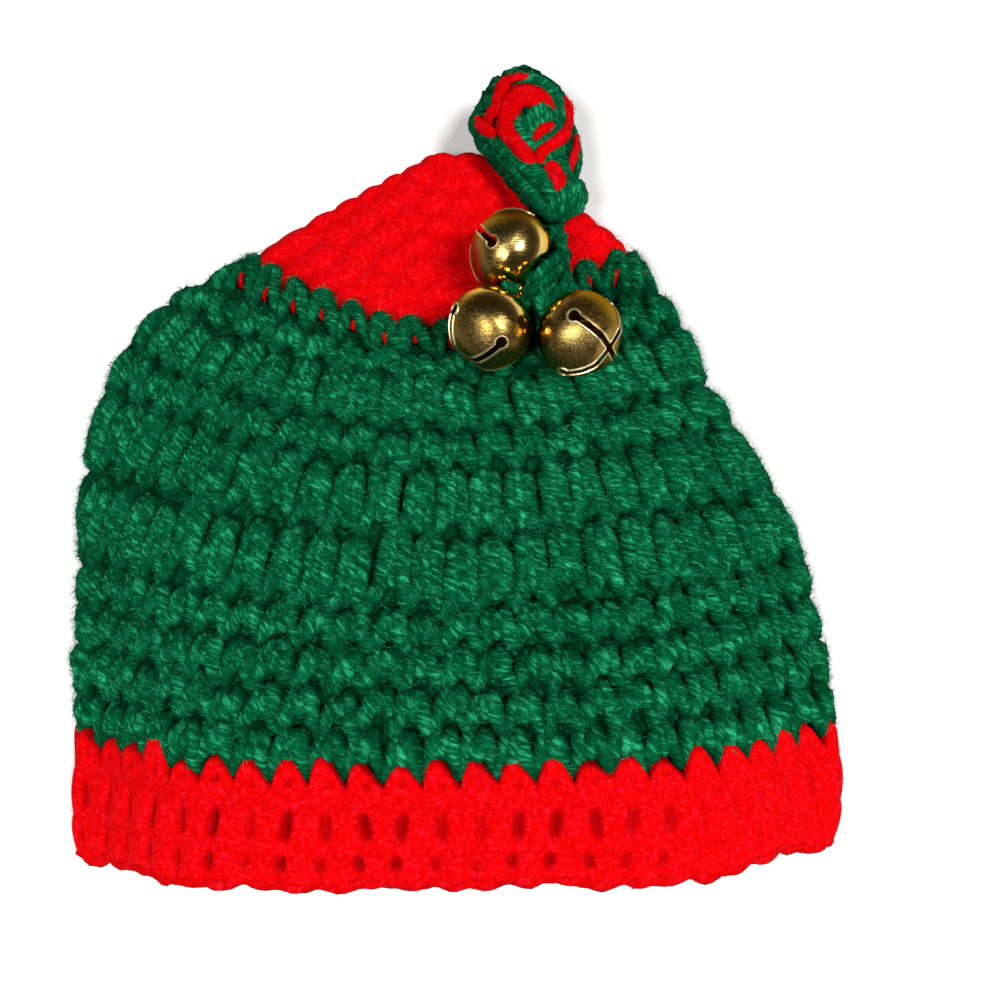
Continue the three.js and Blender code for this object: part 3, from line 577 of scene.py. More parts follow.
class Yarn:
    """Collects lengths of yarn as closed twisted tubes, and the spots where loose fibres grow."""

    def __init__(self):
        self.verts, self.quads, self.caps = [], [], []
        self.deep, self.tone, self.fibre = [], [], []
        self.roots = []
        self.count = 0

    def add(self, paths, normals, radius, fuzz, depth=None, sides=YARN_SIDES, flat=YARN_FLAT, ply=PLY,
            seam=0.0, lumps=LUMP):
        """Tubes along paths (strands, points, 3), their sections turned with the twist."""
        paths = np.asarray(paths, float)
        strands, n = paths.shape[:2]
        shape = (strands, n, sides)
        along, across, out = path_frame(paths, normals)
        steps = np.linalg.norm(np.diff(paths, axis=1), axis=2)
        length = np.concatenate([np.zeros((strands, 1)), np.cumsum(steps, 1)], 1)
        phase = rng.uniform(0, 2 * math.pi, (strands, 1))
        twist = phase + 2 * math.pi * length / (TWIST_TURN * radius / YARN_RADIUS)
        corner = 2 * math.pi * np.arange(sides) / sides
        angle = (twist * (ply > PLY))[..., None] + corner - math.pi / 2
        lump = rng.normal(0, 1, shape)
        lump = (np.roll(lump, 1, 1) + 2 * lump + np.roll(lump, -1, 1)) / 3
        groove = (np.arange(sides) % 2) * 2.0 * ply
        ridge = 1 + lumps * lump + BUNDLE * rng.normal(0, 1, (strands, 1, sides)) - groove
        ends = np.minimum(np.arange(n), np.arange(n)[::-1])
        taper = np.array(END_TAPER)[np.minimum(ends, 2)]
        swell = rng.normal(1, SWELL, (strands, 1)) + SWELL * np.sin(length * SWELL_WAVE + phase)
        ring = (radius * taper * swell)[..., None] * ridge
        push = ring[..., None] * (np.cos(angle)[..., None] * across[:, :, None]
                                  + flat * np.sin(angle)[..., None] * out[:, :, None])
        verts = paths[:, :, None] + push
        verts[..., 2] = np.maximum(verts[..., 2], FLOOR_GAP)
        first = self.count + n * sides * np.arange(strands)[:, None]
        self.quads.append((first[..., None] + ring_quads(n, sides)).reshape(-1, 4))
        cap = first + np.arange(sides)
        self.caps += [cap[:, ::-1], cap + (n - 1) * sides]
        self.verts.append(verts.reshape(-1, 3))
        rise = (push * np.asarray(normals)[:, :, None]).sum(-1)
        # Painted shade: darker the lower the yarn lies below SHADE_LEVEL, in the grooves of the twist, and
        # near a seam
        level = rise + (-radius if depth is None else depth[..., None])
        seam = SEAM_SHADE * np.broadcast_to(seam, (strands, n))[..., None]
        deep = np.clip((SHADE_LEVEL - level) / SHADE_FALL + PLY_SHADE * groove, 0, 1)
        deep = np.minimum(deep + seam, 1)
        self.deep.append(deep.ravel())
        self.tone.append(np.broadcast_to(rng.normal(0, 1, (strands, 1, 1)), shape).ravel())
        far = length + rng.uniform(0, YARN_LENGTH, (strands, 1))
        reach = math.cos(SLANT) * radius * corner + math.sin(SLANT) * far[..., None]
        rank = math.cos(SLANT) * far[..., None] - math.sin(SLANT) * radius * corner
        weave = np.broadcast_arrays(reach, rank, STRAND_SPACING * phase[..., None])
        self.fibre.append(np.stack(weave, -1).reshape(-1, 3))
        self.count += strands * n * sides
        run = math.tan(SLANT) * along[:, :, None] + np.cross(push, along[:, :, None]) / radius
        often = rng.poisson(fuzz, shape) * ((rise > FUZZ_RISE * radius) & (level > FUZZ_LEVEL))
        chosen = np.repeat(np.arange(often.size), often.ravel())
        fields = (verts, push, run, deep[..., None])
        self.roots.append(tuple(field.reshape(often.size, -1)[chosen] for field in fields))

    def mesh(self, name, material):
        attributes = {key: np.concatenate(getattr(self, key)) for key in ("deep", "tone", "fibre")}
        faces = [np.concatenate(self.quads)] + self.caps
        return make_mesh(name, np.concatenate(self.verts), faces, material, attributes)


def fibres(name, roots, material, length):
    """Loose fibres: slim closed spikes that lie over the yarn along its twist."""
    root, push, run, deep = (np.concatenate([r[k] for r in roots]) for k in range(4))
    n = len(root)
    push = unit(push)
    stray = rng.normal(0, FIBRE_STRAY, (n, 3))
    stray -= FIBRE_PRESS * push * (stray * push).sum(1, keepdims=True)
    way = unit(run * rng.choice([-1.0, 1.0], (n, 1)) + push * rng.uniform(0.0, FIBRE_RISE, (n, 1)) + stray)
    reach = length * rng.uniform(*FIBRE_SPREAD, (n, 1))
    side = unit(np.cross(way, rng.normal(0, 1, (n, 3))))
    other = np.cross(way, side)
    foot = root - push * FIBRE_ROOT + run * rng.uniform(-FIBRE_SHIFT, FIBRE_SHIFT, (n, 1))
    thirds = [2 * math.pi * k / 3 for k in range(3)]
    corners = [foot + FIBRE_RADIUS * (math.cos(a) * side + math.sin(a) * other) for a in thirds]
    verts = np.stack(corners + [foot + way * reach], 1).reshape(-1, 3)
    verts[:, 2] = np.maximum(verts[:, 2], FLOOR_GAP)
    base = 4 * np.arange(n)[:, None]
    faces = np.concatenate([base + f for f in ((2, 1, 0), (0, 1, 3), (1, 2, 3), (2, 0, 3))])
    tone = np.repeat(rng.normal(*FIBRE_TONE, n), 4)
    # Fibres carry a share of the painted shade of the yarn they grow from
    attributes = {"deep": FIBRE_DEEP * np.repeat(deep[:, 0], 4), "tone": tone, "fibre": verts}
    return make_mesh(name, verts, [faces], material, attributes, smooth=False)


# Materials

# Yarn colours: painted shade in the pits and hollows, body, lit fibres as a painted highlight; then the
# strength of the painted shade in the pits and in the hollows, and of the bump
GREEN = ((0.0, 0.026, 0.009), (0.0004, 0.098, 0.032), (0.022, 0.42, 0.172), 0.88, 0.8, 0.7)
RED = ((0.22, 0.0, 0.0004), (0.655, 0.0003, 0.001), (0.75, 0.006, 0.018), 0.8, 0.26, 0.3)
YARN_ROUGH, YARN_GLOSS, YARN_BUMP = 0.9, 0.02, 0.0008
# Noise along the fibres: scale, stretch, detail
FINE, CLUMP, GRAIN = (1.45, 0.15, 2), (0.5, 0.7, 1), (6.0, 0.4, 2)
GRAIN_SHARE, TONE_SHARE, GRAIN_RELIEF = 0.6, 0.08, 0.3
# Lit fibres, a painted highlight, and hollows, painted shade: share of the fine noise and of the clumps, and
# the range from none to full
LIT_FIBRES, HOLLOWS = (3.2, 1.2, 2.55, 3.25), (1.6, 3.2, 2.72, 2.05)
# Gold plate: two tints of the plate, speckled painted shade on the petals, a painted highlight on the turned
# edge, and the gloss
GOLD_DARK, GOLD_LIGHT = (0.54, 0.34, 0.085), (0.78, 0.56, 0.19)
GOLD_SPECKLED_SHADE, GOLD_RIM_HIGHLIGHT, GOLD_GLOSS = (0.21, 0.19, 0.15), (0.86, 0.69, 0.36), (0.72, 0.46, 0.13)
# Its noise: scale and detail, and the stretch and turn of the scratches
SCRATCHES, SPECKS, CLOUDS = (280, 6), (3200, 3), (130, 2)
SCRATCH_STRETCH, SCRATCH_TURN = (1.0, 16.0, 1.0), (0.5, 0.9, 0.4)
# Noise to speckled painted shade and to roughness: range of the noise, first and last value
SPECKS_TO_SPECKLED_SHADE, SPECKS_TO_DULL = (0.3, 0.65, 1.0, 0.55), (0.35, 0.65, 0.10, 0.28)
SCRATCHES_TO_DULL = (0.35, 0.75, 0.10, 0.22)
CLOUD_RANGE, EDGE_RANGE, EDGE_DULL = (0.3, 0.7), (-0.2, -0.8), 0.25
SCRATCH_ON_PETALS, SCRATCH_ALL_OVER = 0.8, 0.25
GOLD_RELIEF, GOLD_BUMP = 0.6, 0.00006
TABLE_GREYS, TABLE_GRAIN, TABLE_ROUGH = (0.86, 0.90), 60, 0.7


class Nodes:
    """Adds nodes to a shader tree. What goes into one is a number, a colour or another node's output."""

    def __init__(self, tree):
        self.tree = tree

    def feed(self, socket, value):
        if isinstance(value, bpy.types.NodeSocket):
            self.tree.links.new(value, socket)
        else:
            socket.default_value = value

    def add(self, kind, inputs, **settings):
        node = self.tree.nodes.new("ShaderNode" + kind)
        for name, value in settings.items():
            setattr(node, name, value)
        for label, value in inputs.items():
            self.feed(node.inputs[label], value)
        return node

    def attribute(self, name, output="Fac"):
        return self.add("Attribute", {}, attribute_name=name).outputs[output]

    def math(self, operation, a, b):
        return self.add("Math", {0: a, 1: b}, operation=operation).outputs[0]

    def mix(self, factor, a, b, blend="MIX"):
        inputs = {"Factor": factor, "A": a, "B": b}
        return self.add("Mix", inputs, data_type="RGBA", blend_type=blend).outputs["Result"]

    def stretched(self, vector, scale, turn=(0.0, 0.0, 0.0)):
        return self.add("Mapping", {"Vector": vector, "Scale": scale, "Rotation": turn}).outputs["Vector"]

    def noise(self, vector, scale, detail):
        return self.add("TexNoise", {"Vector": vector, "Scale": scale, "Detail": detail}).outputs["Fac"]

    def ramp(self, value, low, high, first=0.0, last=1.0):
        inputs = {"Value": value, "From Min": low, "From Max": high, "To Min": first, "To Max": last}
        return self.add("MapRange", inputs).outputs["Result"]

    def colours(self, value, first, *stops):
        """A ramp of colours from stops of position and colour."""
        node = self.add("ValToRGB", {"Fac": value})
        elements = node.color_ramp.elements
        for element, (position, colour) in zip(elements, (first, stops[-1])):
            element.position = position
            element.color = (*colour, 1.0)
        for position, colour in stops[:-1]:
            elements.new(position).color = (*colour, 1.0)
        return node.outputs["Color"]

    def bump(self, height, strength, distance):
        inputs = {"Height": height, "Strength": strength, "Distance": distance}
        return self.add("Bump", inputs).outputs["Normal"]


def yarn_effect():
    """Shared yarn look: lit fibres along the twist; painted shade in hollows and deep in the stitch; a
    height.
    """
    group = bpy.data.node_groups.new("worsted_yarn", "ShaderNodeTree")
    for side, kind, labels in (("INPUT", "Color", ("Shade", "Body", "Lit")),
                               ("INPUT", "Float", ("Depth", "Hollow_shade")),
                               ("OUTPUT", "Color", ("Color",)), ("OUTPUT", "Float", ("Height",))):
        for label in labels:
            group.interface.new_socket(label, in_out=side, socket_type="NodeSocket" + kind)
    nodes = Nodes(group)
    given = group.nodes.new("NodeGroupInput").outputs
    result = group.nodes.new("NodeGroupOutput").inputs
    fibre = nodes.attribute("fibre", "Vector")
    fine, clump, grain = (nodes.noise(nodes.stretched(fibre, (stretch, 1.0, 1.0)), scale, detail)
                          for scale, stretch, detail in (FINE, CLUMP, GRAIN))
    tone = nodes.math("MULTIPLY", nodes.attribute("tone"), TONE_SHARE)
    spread = nodes.math("ADD", nodes.math("MULTIPLY", grain, GRAIN_SHARE), tone)

    def between(fine_share, clump_share, low, high):
        """How far a mix of fine and broad noise has gone from one value to another, from 0 to 1."""
        broad = nodes.math("MULTIPLY", clump, clump_share)
        level = nodes.math("ADD", nodes.math("MULTIPLY", fine, fine_share), broad)
        return nodes.ramp(nodes.math("ADD", level, spread), low, high)

    # The lit colour is a painted highlight on fibres picked by noise
    colour = nodes.mix(between(*LIT_FIBRES), given["Body"], given["Lit"])
    # Painted shade toward the shade colour, in the hollows and from the attribute deep; Depth sets its
    # strength
    hollow = nodes.math("MULTIPLY", between(*HOLLOWS), given["Hollow_shade"])
    dark = nodes.math("MAXIMUM", hollow, nodes.attribute("deep"))
    dark = nodes.math("MULTIPLY", dark, given["Depth"])
    nodes.feed(result["Color"], nodes.mix(dark, colour, given["Shade"]))
    nodes.feed(result["Height"], nodes.math("ADD", fine, nodes.math("MULTIPLY", grain, GRAIN_RELIEF)))
    return group


def principled(name):
    """A new material, its nodes and the inputs of its shader."""
    material = bpy.data.materials.new(name)
    material.use_nodes = True
    shader = material.node_tree.nodes["Principled BSDF"].inputs
    return material, Nodes(material.node_tree), shader


def yarn_material(name, effect, shade, body, lit, depth, hollow_shade, relief):
    material, nodes, shader = principled(name)
    shader["Roughness"].default_value = YARN_ROUGH
    shader["Specular IOR Level"].default_value = YARN_GLOSS
    look = nodes.add("Group", {}, node_tree=effect)
    for label, value in (("Shade", shade), ("Body", body), ("Lit", lit)):
        look.inputs[label].default_value = (*value, 1.0)
    look.inputs["Depth"].default_value = depth
    look.inputs["Hollow_shade"].default_value = hollow_shade
    nodes.feed(shader["Base Color"], look.outputs["Color"])
    nodes.feed(shader["Normal"], nodes.bump(look.outputs["Height"], relief, YARN_BUMP))
    return material


def brass_material():
    """Gold plate: polished and warm round the loop, dull with fine scratches, specks and painted shade on
    the petals.
    """
    material, nodes, shader = principled("gold_plate")
    shader["Metallic"].default_value = 1.0
    shader["Specular Tint"].default_value = (*GOLD_GLOSS, 1.0)
    place = nodes.add("TexCoord", {}).outputs["Object"]
    petal = nodes.attribute("petal")
    scratch = nodes.noise(nodes.stretched(place, SCRATCH_STRETCH, SCRATCH_TURN), *SCRATCHES)
    specks = nodes.noise(place, *SPECKS)
    tint = nodes.colours(nodes.noise(place, *CLOUDS), *zip(CLOUD_RANGE, (GOLD_DARK, GOLD_LIGHT)))
    # Painted shade on the petals, speckled by the specks noise
    speckled_shade = nodes.math("MULTIPLY", petal, nodes.ramp(specks, *SPECKS_TO_SPECKLED_SHADE))
    speckled_and_shaded = nodes.mix(speckled_shade, tint, (*GOLD_SPECKLED_SHADE, 1.0), "MULTIPLY")
    # The turned edge round the slots gets a painted highlight colour
    edge = nodes.ramp(petal, *EDGE_RANGE)
    nodes.feed(shader["Base Color"], nodes.mix(edge, speckled_and_shaded, (*GOLD_RIM_HIGHLIGHT, 1.0)))
    dull = nodes.math("MULTIPLY", petal, nodes.ramp(specks, *SPECKS_TO_DULL))
    dull = nodes.math("MAXIMUM", dull, nodes.math("MULTIPLY", edge, EDGE_DULL))
    nodes.feed(shader["Roughness"], nodes.math("ADD", dull, nodes.ramp(scratch, *SCRATCHES_TO_DULL)))
    worn = nodes.math("ADD", specks, nodes.math("MULTIPLY", scratch, SCRATCH_ON_PETALS))
    worn = nodes.math("MULTIPLY", petal, worn)
    height = nodes.math("ADD", worn, nodes.math("MULTIPLY", scratch, SCRATCH_ALL_OVER))
    nodes.feed(shader["Normal"], nodes.bump(height, GOLD_RELIEF, GOLD_BUMP))
    return material


def table_material():
    material, nodes, shader = principled("pale_table")
    shader["Roughness"].default_value = TABLE_ROUGH
    grain = nodes.add("TexNoise", {"Scale": TABLE_GRAIN}).outputs["Fac"]
    greys = [(position, (grey, grey, grey)) for position, grey in enumerate(TABLE_GREYS)]
    nodes.feed(shader["Base Color"], nodes.colours(grain, *greys))
    return material


effect = yarn_effect()
YARN = {
    "green": yarn_material("green_yarn", effect, *GREEN),
    "red": yarn_material("red_yarn", effect, *RED),
}
ZONE_COLOUR = {"crown": "red", "body": "green", "band": "red"}
brass = brass_material()


# Crochet of the hat

def round_stations(pattern, start, end, stitches, jitter, offset):
    """Stations of every stitch of a round, as turn, down and height, each stitch upright to the round."""
    pattern = np.array(pattern)
    wobble = rng.normal(0, 1, (stitches, len(pattern), 3)) * WOBBLE
    across = pattern[None, :, 0] + jitter[:, None, 0] + wobble[..., 0]
    place = pattern[None, :, 1] + jitter[:, None, 1] + wobble[..., 1]
    down = np.clip(start + (end - start) * place, TIP_START, HAT_LINES[-1, 0] + 1.0)
    crest = CREST * (np.sin(math.pi * np.clip(place, 0, 1)) - CREST_MEAN)
    height = pattern[None, :, 2] + jitter[:, None, 2] + wobble[..., 2]
    height = np.minimum(height, STATION_TOP) + crest
    if end < ROUNDS_UNDER_ARCHES:
        height = height - np.interp(down, CROWN_SINK_DOWN, CROWN_SINK)
    middle = (np.arange(stitches) + 0.5 + offset) / stitches
    centre = 0.5 * (start + end)
    lean = lean_of_round(middle, centre) * np.interp(centre, TIP_LEAN_DOWN, (TIP_LEAN, 1.0))
    shift = np.clip(lean[:, None] * (down - centre) * stitches, -LEAN_LIMIT, LEAN_LIMIT)
    turn = middle[:, None] + (across - shift) / stitches
    return np.stack([turn, down, np.minimum(height, TOP_DEPTH)], -1)


def lay_round(front, back, pattern, start, end, stitches, jitter, offset, radius, fuzz):
    """Yarn of one round, fine on the front layer and plain underneath."""
    stations = round_stations(pattern, start, end, stitches, jitter, offset)
    middle = np.mod(stations[:, len(pattern) // 2, 0], 1.0)
    above = (middle > FRONT_STITCHES[0]) | (middle < FRONT_STITCHES[1])
    for yarn, chosen, step, sides, grow in ((front, above, FRONT_STEP, YARN_SIDES, fuzz),
                                            (back, ~above, BACK_STEP, BACK_SIDES, fuzz * BACK_FUZZ)):
        if not chosen.any():
            continue
        rough = on_skin(*np.moveaxis(stations[chosen], -1, 0))[0]
        reach = np.linalg.norm(np.diff(rough, axis=1), axis=2).sum(1).mean() * CURVE_SLACK
        path = smooth_path(stations[chosen], max(FEWEST_RINGS, int(reach / step)))
        points, normals = on_skin(*np.moveaxis(path, -1, 0))
        # Painted shade near the seam between two rounds
        to_seam = np.minimum(np.abs(path[..., 1] - start), np.abs(path[..., 1] - end))
        seam = np.exp(-(to_seam / SEAM_WIDTH) ** 2)
        yarn.add(points, normals, radius, grow, path[..., 2], sides, seam=seam)


def lay_mouth_edge(yarns):
    """Yarn of the rolled edge of the mouth, in line with the last round."""
    stitches = count_stitches(*ROUNDS[-1][2:])
    layers = (("band", FRONT_TURNS, FRONT_STEP, YARN_SIDES, 1),
              ("band_under", UNDER_TURNS, BACK_STEP, BACK_SIDES, BACK_FUZZ))
    for down, depth, radius in MOUTH_EDGE:
        for part, (first, last), step, sides, share in layers:
            turn = np.linspace(first, last, int((last - first) * stitches * STITCH_WIDTH / step))
            bump = EDGE_BUMP * np.sin(2 * math.pi * stitches * turn)
            points, normals = on_skin(turn, down + bump, depth)
            deep = np.full((1, len(turn)), depth)
            yarns[part].add(points[None], normals[None], radius, FUZZ["band"] * share, deep, sides)


def crochet():
    """Yarn of each colour zone, its front and the side underneath, by name of the piece."""
    yarns = {}
    for zone, kind, start, end in ROUNDS:
        part = zone
        if zone == "body":
            low = "body_tall" if kind == "tall" else "body_lower"
            part = "body_upper" if end < UPPER_BODY_END else low
        front = yarns.setdefault(part, Yarn())
        back = yarns.setdefault(zone + "_under", Yarn())
        stitches = count_stitches(start, end)
        offset = rng.uniform(-0.5, 0.5)
        if kind in IN_LINE:
            stitches, offset = count_stitches(*ROUNDS[-1][2:]), 0.0
        jitter = rng.normal(0, 1, (stitches, 3)) * JITTER
        jitter[:, 2] = np.minimum(jitter[:, 2], JITTER_TOP)
        radius = ARCH_RADIUS if kind == "scallop" else YARN_RADIUS
        fuzz = FUZZ[zone] * EDGE_FUZZ.get(kind, 1.0)
        for pattern in STITCHES.get(kind, ()):
            lay_round(front, back, pattern, start, end, stitches, jitter, offset, radius, fuzz)
        if kind == "scallop":
            lay_round(yarns["crown"], yarns["crown_under"], SCALLOP_DOT, start, end, stitches, jitter,
                      offset, DOT_RADIUS, FUZZ["crown"])
    lay_mouth_edge(yarns)
    return yarns


# Chance values for each stitch of the band, then for each gap between two stitches
MOST_STITCHES = 100
uneven = rng.normal(0, 1, (3, 2 * MOST_STITCHES))


def round_at(down):
    """The round of crochet at a distance down from the tip."""
    for zone, kind, start, end in ROUNDS:
        if down <= end:
            break
    return kind, start, end, count_stitches(*(ROUNDS[-1][2:] if kind in IN_LINE else (start, end)))


def ground(zone, turns, down):
    """Depth of the ground between the stitches, with the bumps, peaks and dents of the felt."""
    kind, start, end, stitches = round_at(down)
    if zone == "band" and kind == "pointed":
        kind, start, end = BAND_TOP
    place = np.clip((down - start) / (end - start), 0, 1)
    depth = np.full(len(turns), GROUND[zone][0])
    if zone in GROUND_SINKS:
        first, last = GROUND_SINKS[zone]
        depth += (SUNK_GROUND - depth) * np.clip((down - first) / (last - first), 0, 1)
    count = turns * stitches
    if zone in BUMPS and kind != "peak":
        across = DENTS[kind][0] if kind in DENTS else 0.5 * (round(start / CROWN_ROUND) % 2)
        lump = np.abs(np.sin(math.pi * (count - 0.5 - across)))
        depth += BUMPS[zone] * lump * np.sin(math.pi * place) ** BUMP_POWER
    if kind == "peak":
        depth += PEAK_HEIGHT * np.cos(math.pi * (count - np.floor(count) - 0.5)) * (1 - place)
    if kind in DENTS:
        across, middle, half_width, half_height, dent = DENTS[kind]
        which = np.floor(count - across).astype(int) % stitches
        below = down - (start + (end - start) * middle)
        aside = (np.mod(count - across, 1.0) - 0.5) * STITCH_WIDTH
        aside = aside + DENT_SLANT * uneven[0][which] * (1 + below)
        fade = np.clip((turns - DENT_FADE[0]) / (DENT_FADE[1] - DENT_FADE[0]), DENT_FADE[2], 1)
        mean, spread, least, most = DENT_DEPTH
        fade = fade * np.clip(mean + spread * uneven[1][which], least, most)
        depth -= fade * dent * np.exp(-(aside / half_width) ** 2 - (below / half_height) ** 4)
    if kind == "peak":
        which = np.floor(count).astype(int) % stitches
        tilt = PEAK_TILT + TILT_UNEVEN * np.clip(uneven[0][which], -TILT_LIMIT, TILT_LIMIT)
        side = 2 * (np.mod(count, 1.0) - 0.5)
        side = np.abs(side - tilt * (1 - side ** 2))
        top = PEAK_TOP + PEAK_UNEVEN * uneven[2][which]
        beside = np.round(count).astype(int) % stitches + MOST_STITCHES
        valley = PEAK_VALLEY - PEAK_UNEVEN * np.abs(uneven[1][beside])
        edge = top + (valley - top) * side ** PEAK_POWER
        depth -= (depth - SUNK_GROUND) * np.clip((edge - down) / PEAK_FLANK + 0.5, 0, 1)
    return np.maximum(depth, SUNK_GROUND)


def hat_wall(zone, start, end, inner_start, material, closed_tip, columns, step):
    """The wall behind the stitches: a felted outside, finer on the front, and an inside with bumps; with
    painted shade.
    """
    front = int(FRONT_SHARE * columns)
    begin, fold = FRONT_TURNS
    turns = np.concatenate([np.linspace(begin, fold, front, endpoint=False),
                            np.linspace(fold, begin + 1, columns - front, endpoint=False)])
    rings, shades = [], []
    for down in np.linspace(start, end, max(FEWEST_RINGS, int((end - start) / step))):
        depth = ground(zone, turns, down)
        rings.append(on_skin(turns, down, depth)[0])
        # Painted shade: the ground's own, and more where it sinks below the middle of its bumps
        sink = GROUND[zone][0] + 0.5 * BUMPS.get(zone, 0.0) - depth
        shades.append(np.clip(GROUND[zone][1] + DENT_SHADE * sink, 0, 1))
    for down in np.arange(inner_start, end + 0.01, INSIDE_STEP)[::-1]:
        kind, top, bottom, stitches = round_at(down)
        place = np.clip((down - top) / (bottom - top), 0, 1)
        bump = np.abs(np.sin(math.pi * stitches * turns)) * math.sin(math.pi * place) * INSIDE_BUMP
        fade = 1.0 if start < down < end else 0.0
        rings.append(on_skin(turns, down, INSIDE_GAP - WALL - bump * fade)[0])
        # An even painted shade inside
        shades.append(np.full(columns, INSIDE_SHADE))
    verts = np.concatenate(rings)
    n = len(rings)
    faces = [ring_quads(n, columns, not closed_tip)[:, ::-1]]
    shade = np.concatenate(shades)
    if closed_tip:
        verts = np.concatenate([verts, [rings[0].mean(0)], [rings[-1].mean(0)]])
        shade = np.concatenate([shade, shade[:1], shade[-1:]])
        k = np.arange(columns)
        k1 = (k + 1) % columns
        tip = np.stack([np.full(columns, n * columns), k, k1], 1)
        inner = (n - 1) * columns
        inside = np.stack([np.full(columns, n * columns + 1), inner + k1, inner + k], 1)
        faces.append(np.concatenate([tip, inside])[:, ::-1])
    attributes = {"deep": shade, "tone": np.zeros(len(verts)), "fibre": verts * FELT_STRETCH}
    return make_mesh(zone + "_wall", verts, faces, material, attributes)


def felt_roots(zone, start, end):
    """Spots where fibres lie on the felt of the front layer, in the form that yarn gives."""
    fields = []
    for down in np.arange(start, end, FELT_ROW):
        across = count_stitches(down, down) * STITCH_WIDTH / 2
        expected = FELT_FUZZ[zone] * FELT_ROW / SQUARE_CENTIMETRE * across
        turns = rng.uniform(*FRONT_TURNS, rng.poisson(expected))
        depth = ground(zone, turns, down)
        proud = depth > GROUND[zone][0] - FELT_PROUD
        turns, depth = turns[proud], depth[proud]
        points, normals = on_skin(turns, down, depth)
        sideways, mean, spread = FELT_RUN
        below = down + rng.normal(mean, spread, len(turns))
        run = unit(on_skin(turns + sideways, below, depth)[0] - points)
        # Fibres on the felt take the ground's painted shade
        fields.append((points, normals, run, np.full((len(turns), 1), GROUND[zone][1])))
    return fields


# Knob, cord and knot

knob_along = unit(KNOB_NECK - KNOB_HEAD)
knob_side = unit(np.cross([0, 0, 1], knob_along))
knob_up = np.cross(knob_along, knob_side)


def knob_radius(along):
    return np.interp(along, KNOB_PROFILE[:, 0], KNOB_PROFILE[:, 1])


def on_knob(along, degrees, lift):
    """Points on the knob's teardrop and their outward directions."""
    along, degrees, lift = np.broadcast_arrays(along, degrees, lift)
    radius = knob_radius(along) + lift
    angle = np.radians(degrees)
    out = np.sin(angle)[..., None] * knob_side + np.cos(angle)[..., None] * knob_up
    normal = unit(out + np.interp(along, *KNOB_LEAN)[..., None] * knob_along)
    return KNOB_HEAD + along[..., None] * knob_along + radius[..., None] * out, normal


def top_of_hat(x, y, tree):
    """Height of the hat's front layer at a place, or None beside the hat."""
    hit = tree.ray_cast(Vector((x, y, ABOVE_ALL)), Vector((0, 0, -1)))[0]
    return None if hit is None else hit.z


def raise_over_hat(points, clearance, tree):
    """Moves points that lie in the hat up onto its front layer."""
    flat = points.reshape(-1, 3).copy()
    for p in flat:
        top = top_of_hat(p[0], p[1], tree)
        if top is not None and p[2] < top + clearance:
            p[2] = top + clearance
    return flat.reshape(points.shape)


def hat_tree():
    """The hat's outer skin, to lay things on."""
    grid = skin_points[::TREE_STRIDE, ::TREE_STRIDE]
    return BVHTree.FromPolygons(grid.reshape(-1, 3).tolist(), ring_quads(*grid.shape[:2]).tolist())


def knob_yarn(tree):
    """Green windings all round the knob, and the strands that cross over them."""
    wound = {"green": Yarn(), "red": Yarn()}
    stations = []
    count = len(WINDING_ALONG)
    for turn in np.arange(KNOB_WINDINGS) * 360 / KNOB_WINDINGS:
        sway = turn + WINDING_SWAY * np.arange(count) + rng.normal(0, WINDING_UNEVEN, count)
        stations.append(np.stack([WINDING_ALONG, sway, np.full(count, WINDING_DEPTH)], 1))
    path = smooth_path(stations, WINDING_POINTS)
    points, normals = on_knob(*np.moveaxis(path, -1, 0))
    points = raise_over_hat(points, WINDING_CLEARANCE, tree)
    # Painted shade as for yarn lying this deep
    deep = np.full(path.shape[:2], WINDING_SHADE)
    fuzz = WINDING_FUZZ * FUZZ["knob"]
    wound["green"].add(points, normals, WINDING_RADIUS, fuzz, deep, ply=CRISP_PLY)
    for colour, radius, stations in KNOB_STRANDS:
        stations = np.array(stations, float)
        stations[:, 2] += STRAND_RISE - radius
        stations[[0, -1], 2] -= STRAND_END
        path = smooth_path(stations[None], STRAND_POINTS * len(stations))
        points, normals = on_knob(*np.moveaxis(path, -1, 0))
        points = raise_over_hat(points, STRAND_CLEARANCE * radius, tree)
        wound[colour].add(points, normals, radius, FUZZ["knob"], sides=KNOB_SIDES, flat=KNOB_FLAT,
                          lumps=KNOB_LUMP)
    return wound


def knob_core(tree):
    """The middle of the knob that shows between strands, all in painted shade."""
    along = np.linspace(*CORE_ALONG, CORE_RINGS)
    degrees = np.arange(CORE_SIDES) * 360 / CORE_SIDES
    sink = np.minimum(CORE_DEPTH, CORE_SHARE * knob_radius(along))
    grid = on_knob(along[:, None], degrees[None], -sink[:, None])[0]
    grid = raise_over_hat(grid, CORE_CLEARANCE, tree)
    grid[..., 2] = np.maximum(grid[..., 2], CORE_LOWEST)
    rows, columns = grid.shape[:2]
    caps = [np.arange(columns)[None, ::-1], (rows - 1) * columns + np.arange(columns)[None]]
    verts = grid.reshape(-1, 3)
    # Painted shade all over
    attributes = {"deep": np.ones(len(verts)), "tone": np.zeros(len(verts)), "fibre": verts}
    return make_mesh("knob_core", verts, [ring_quads(rows, columns)] + caps, YARN["green"], attributes)


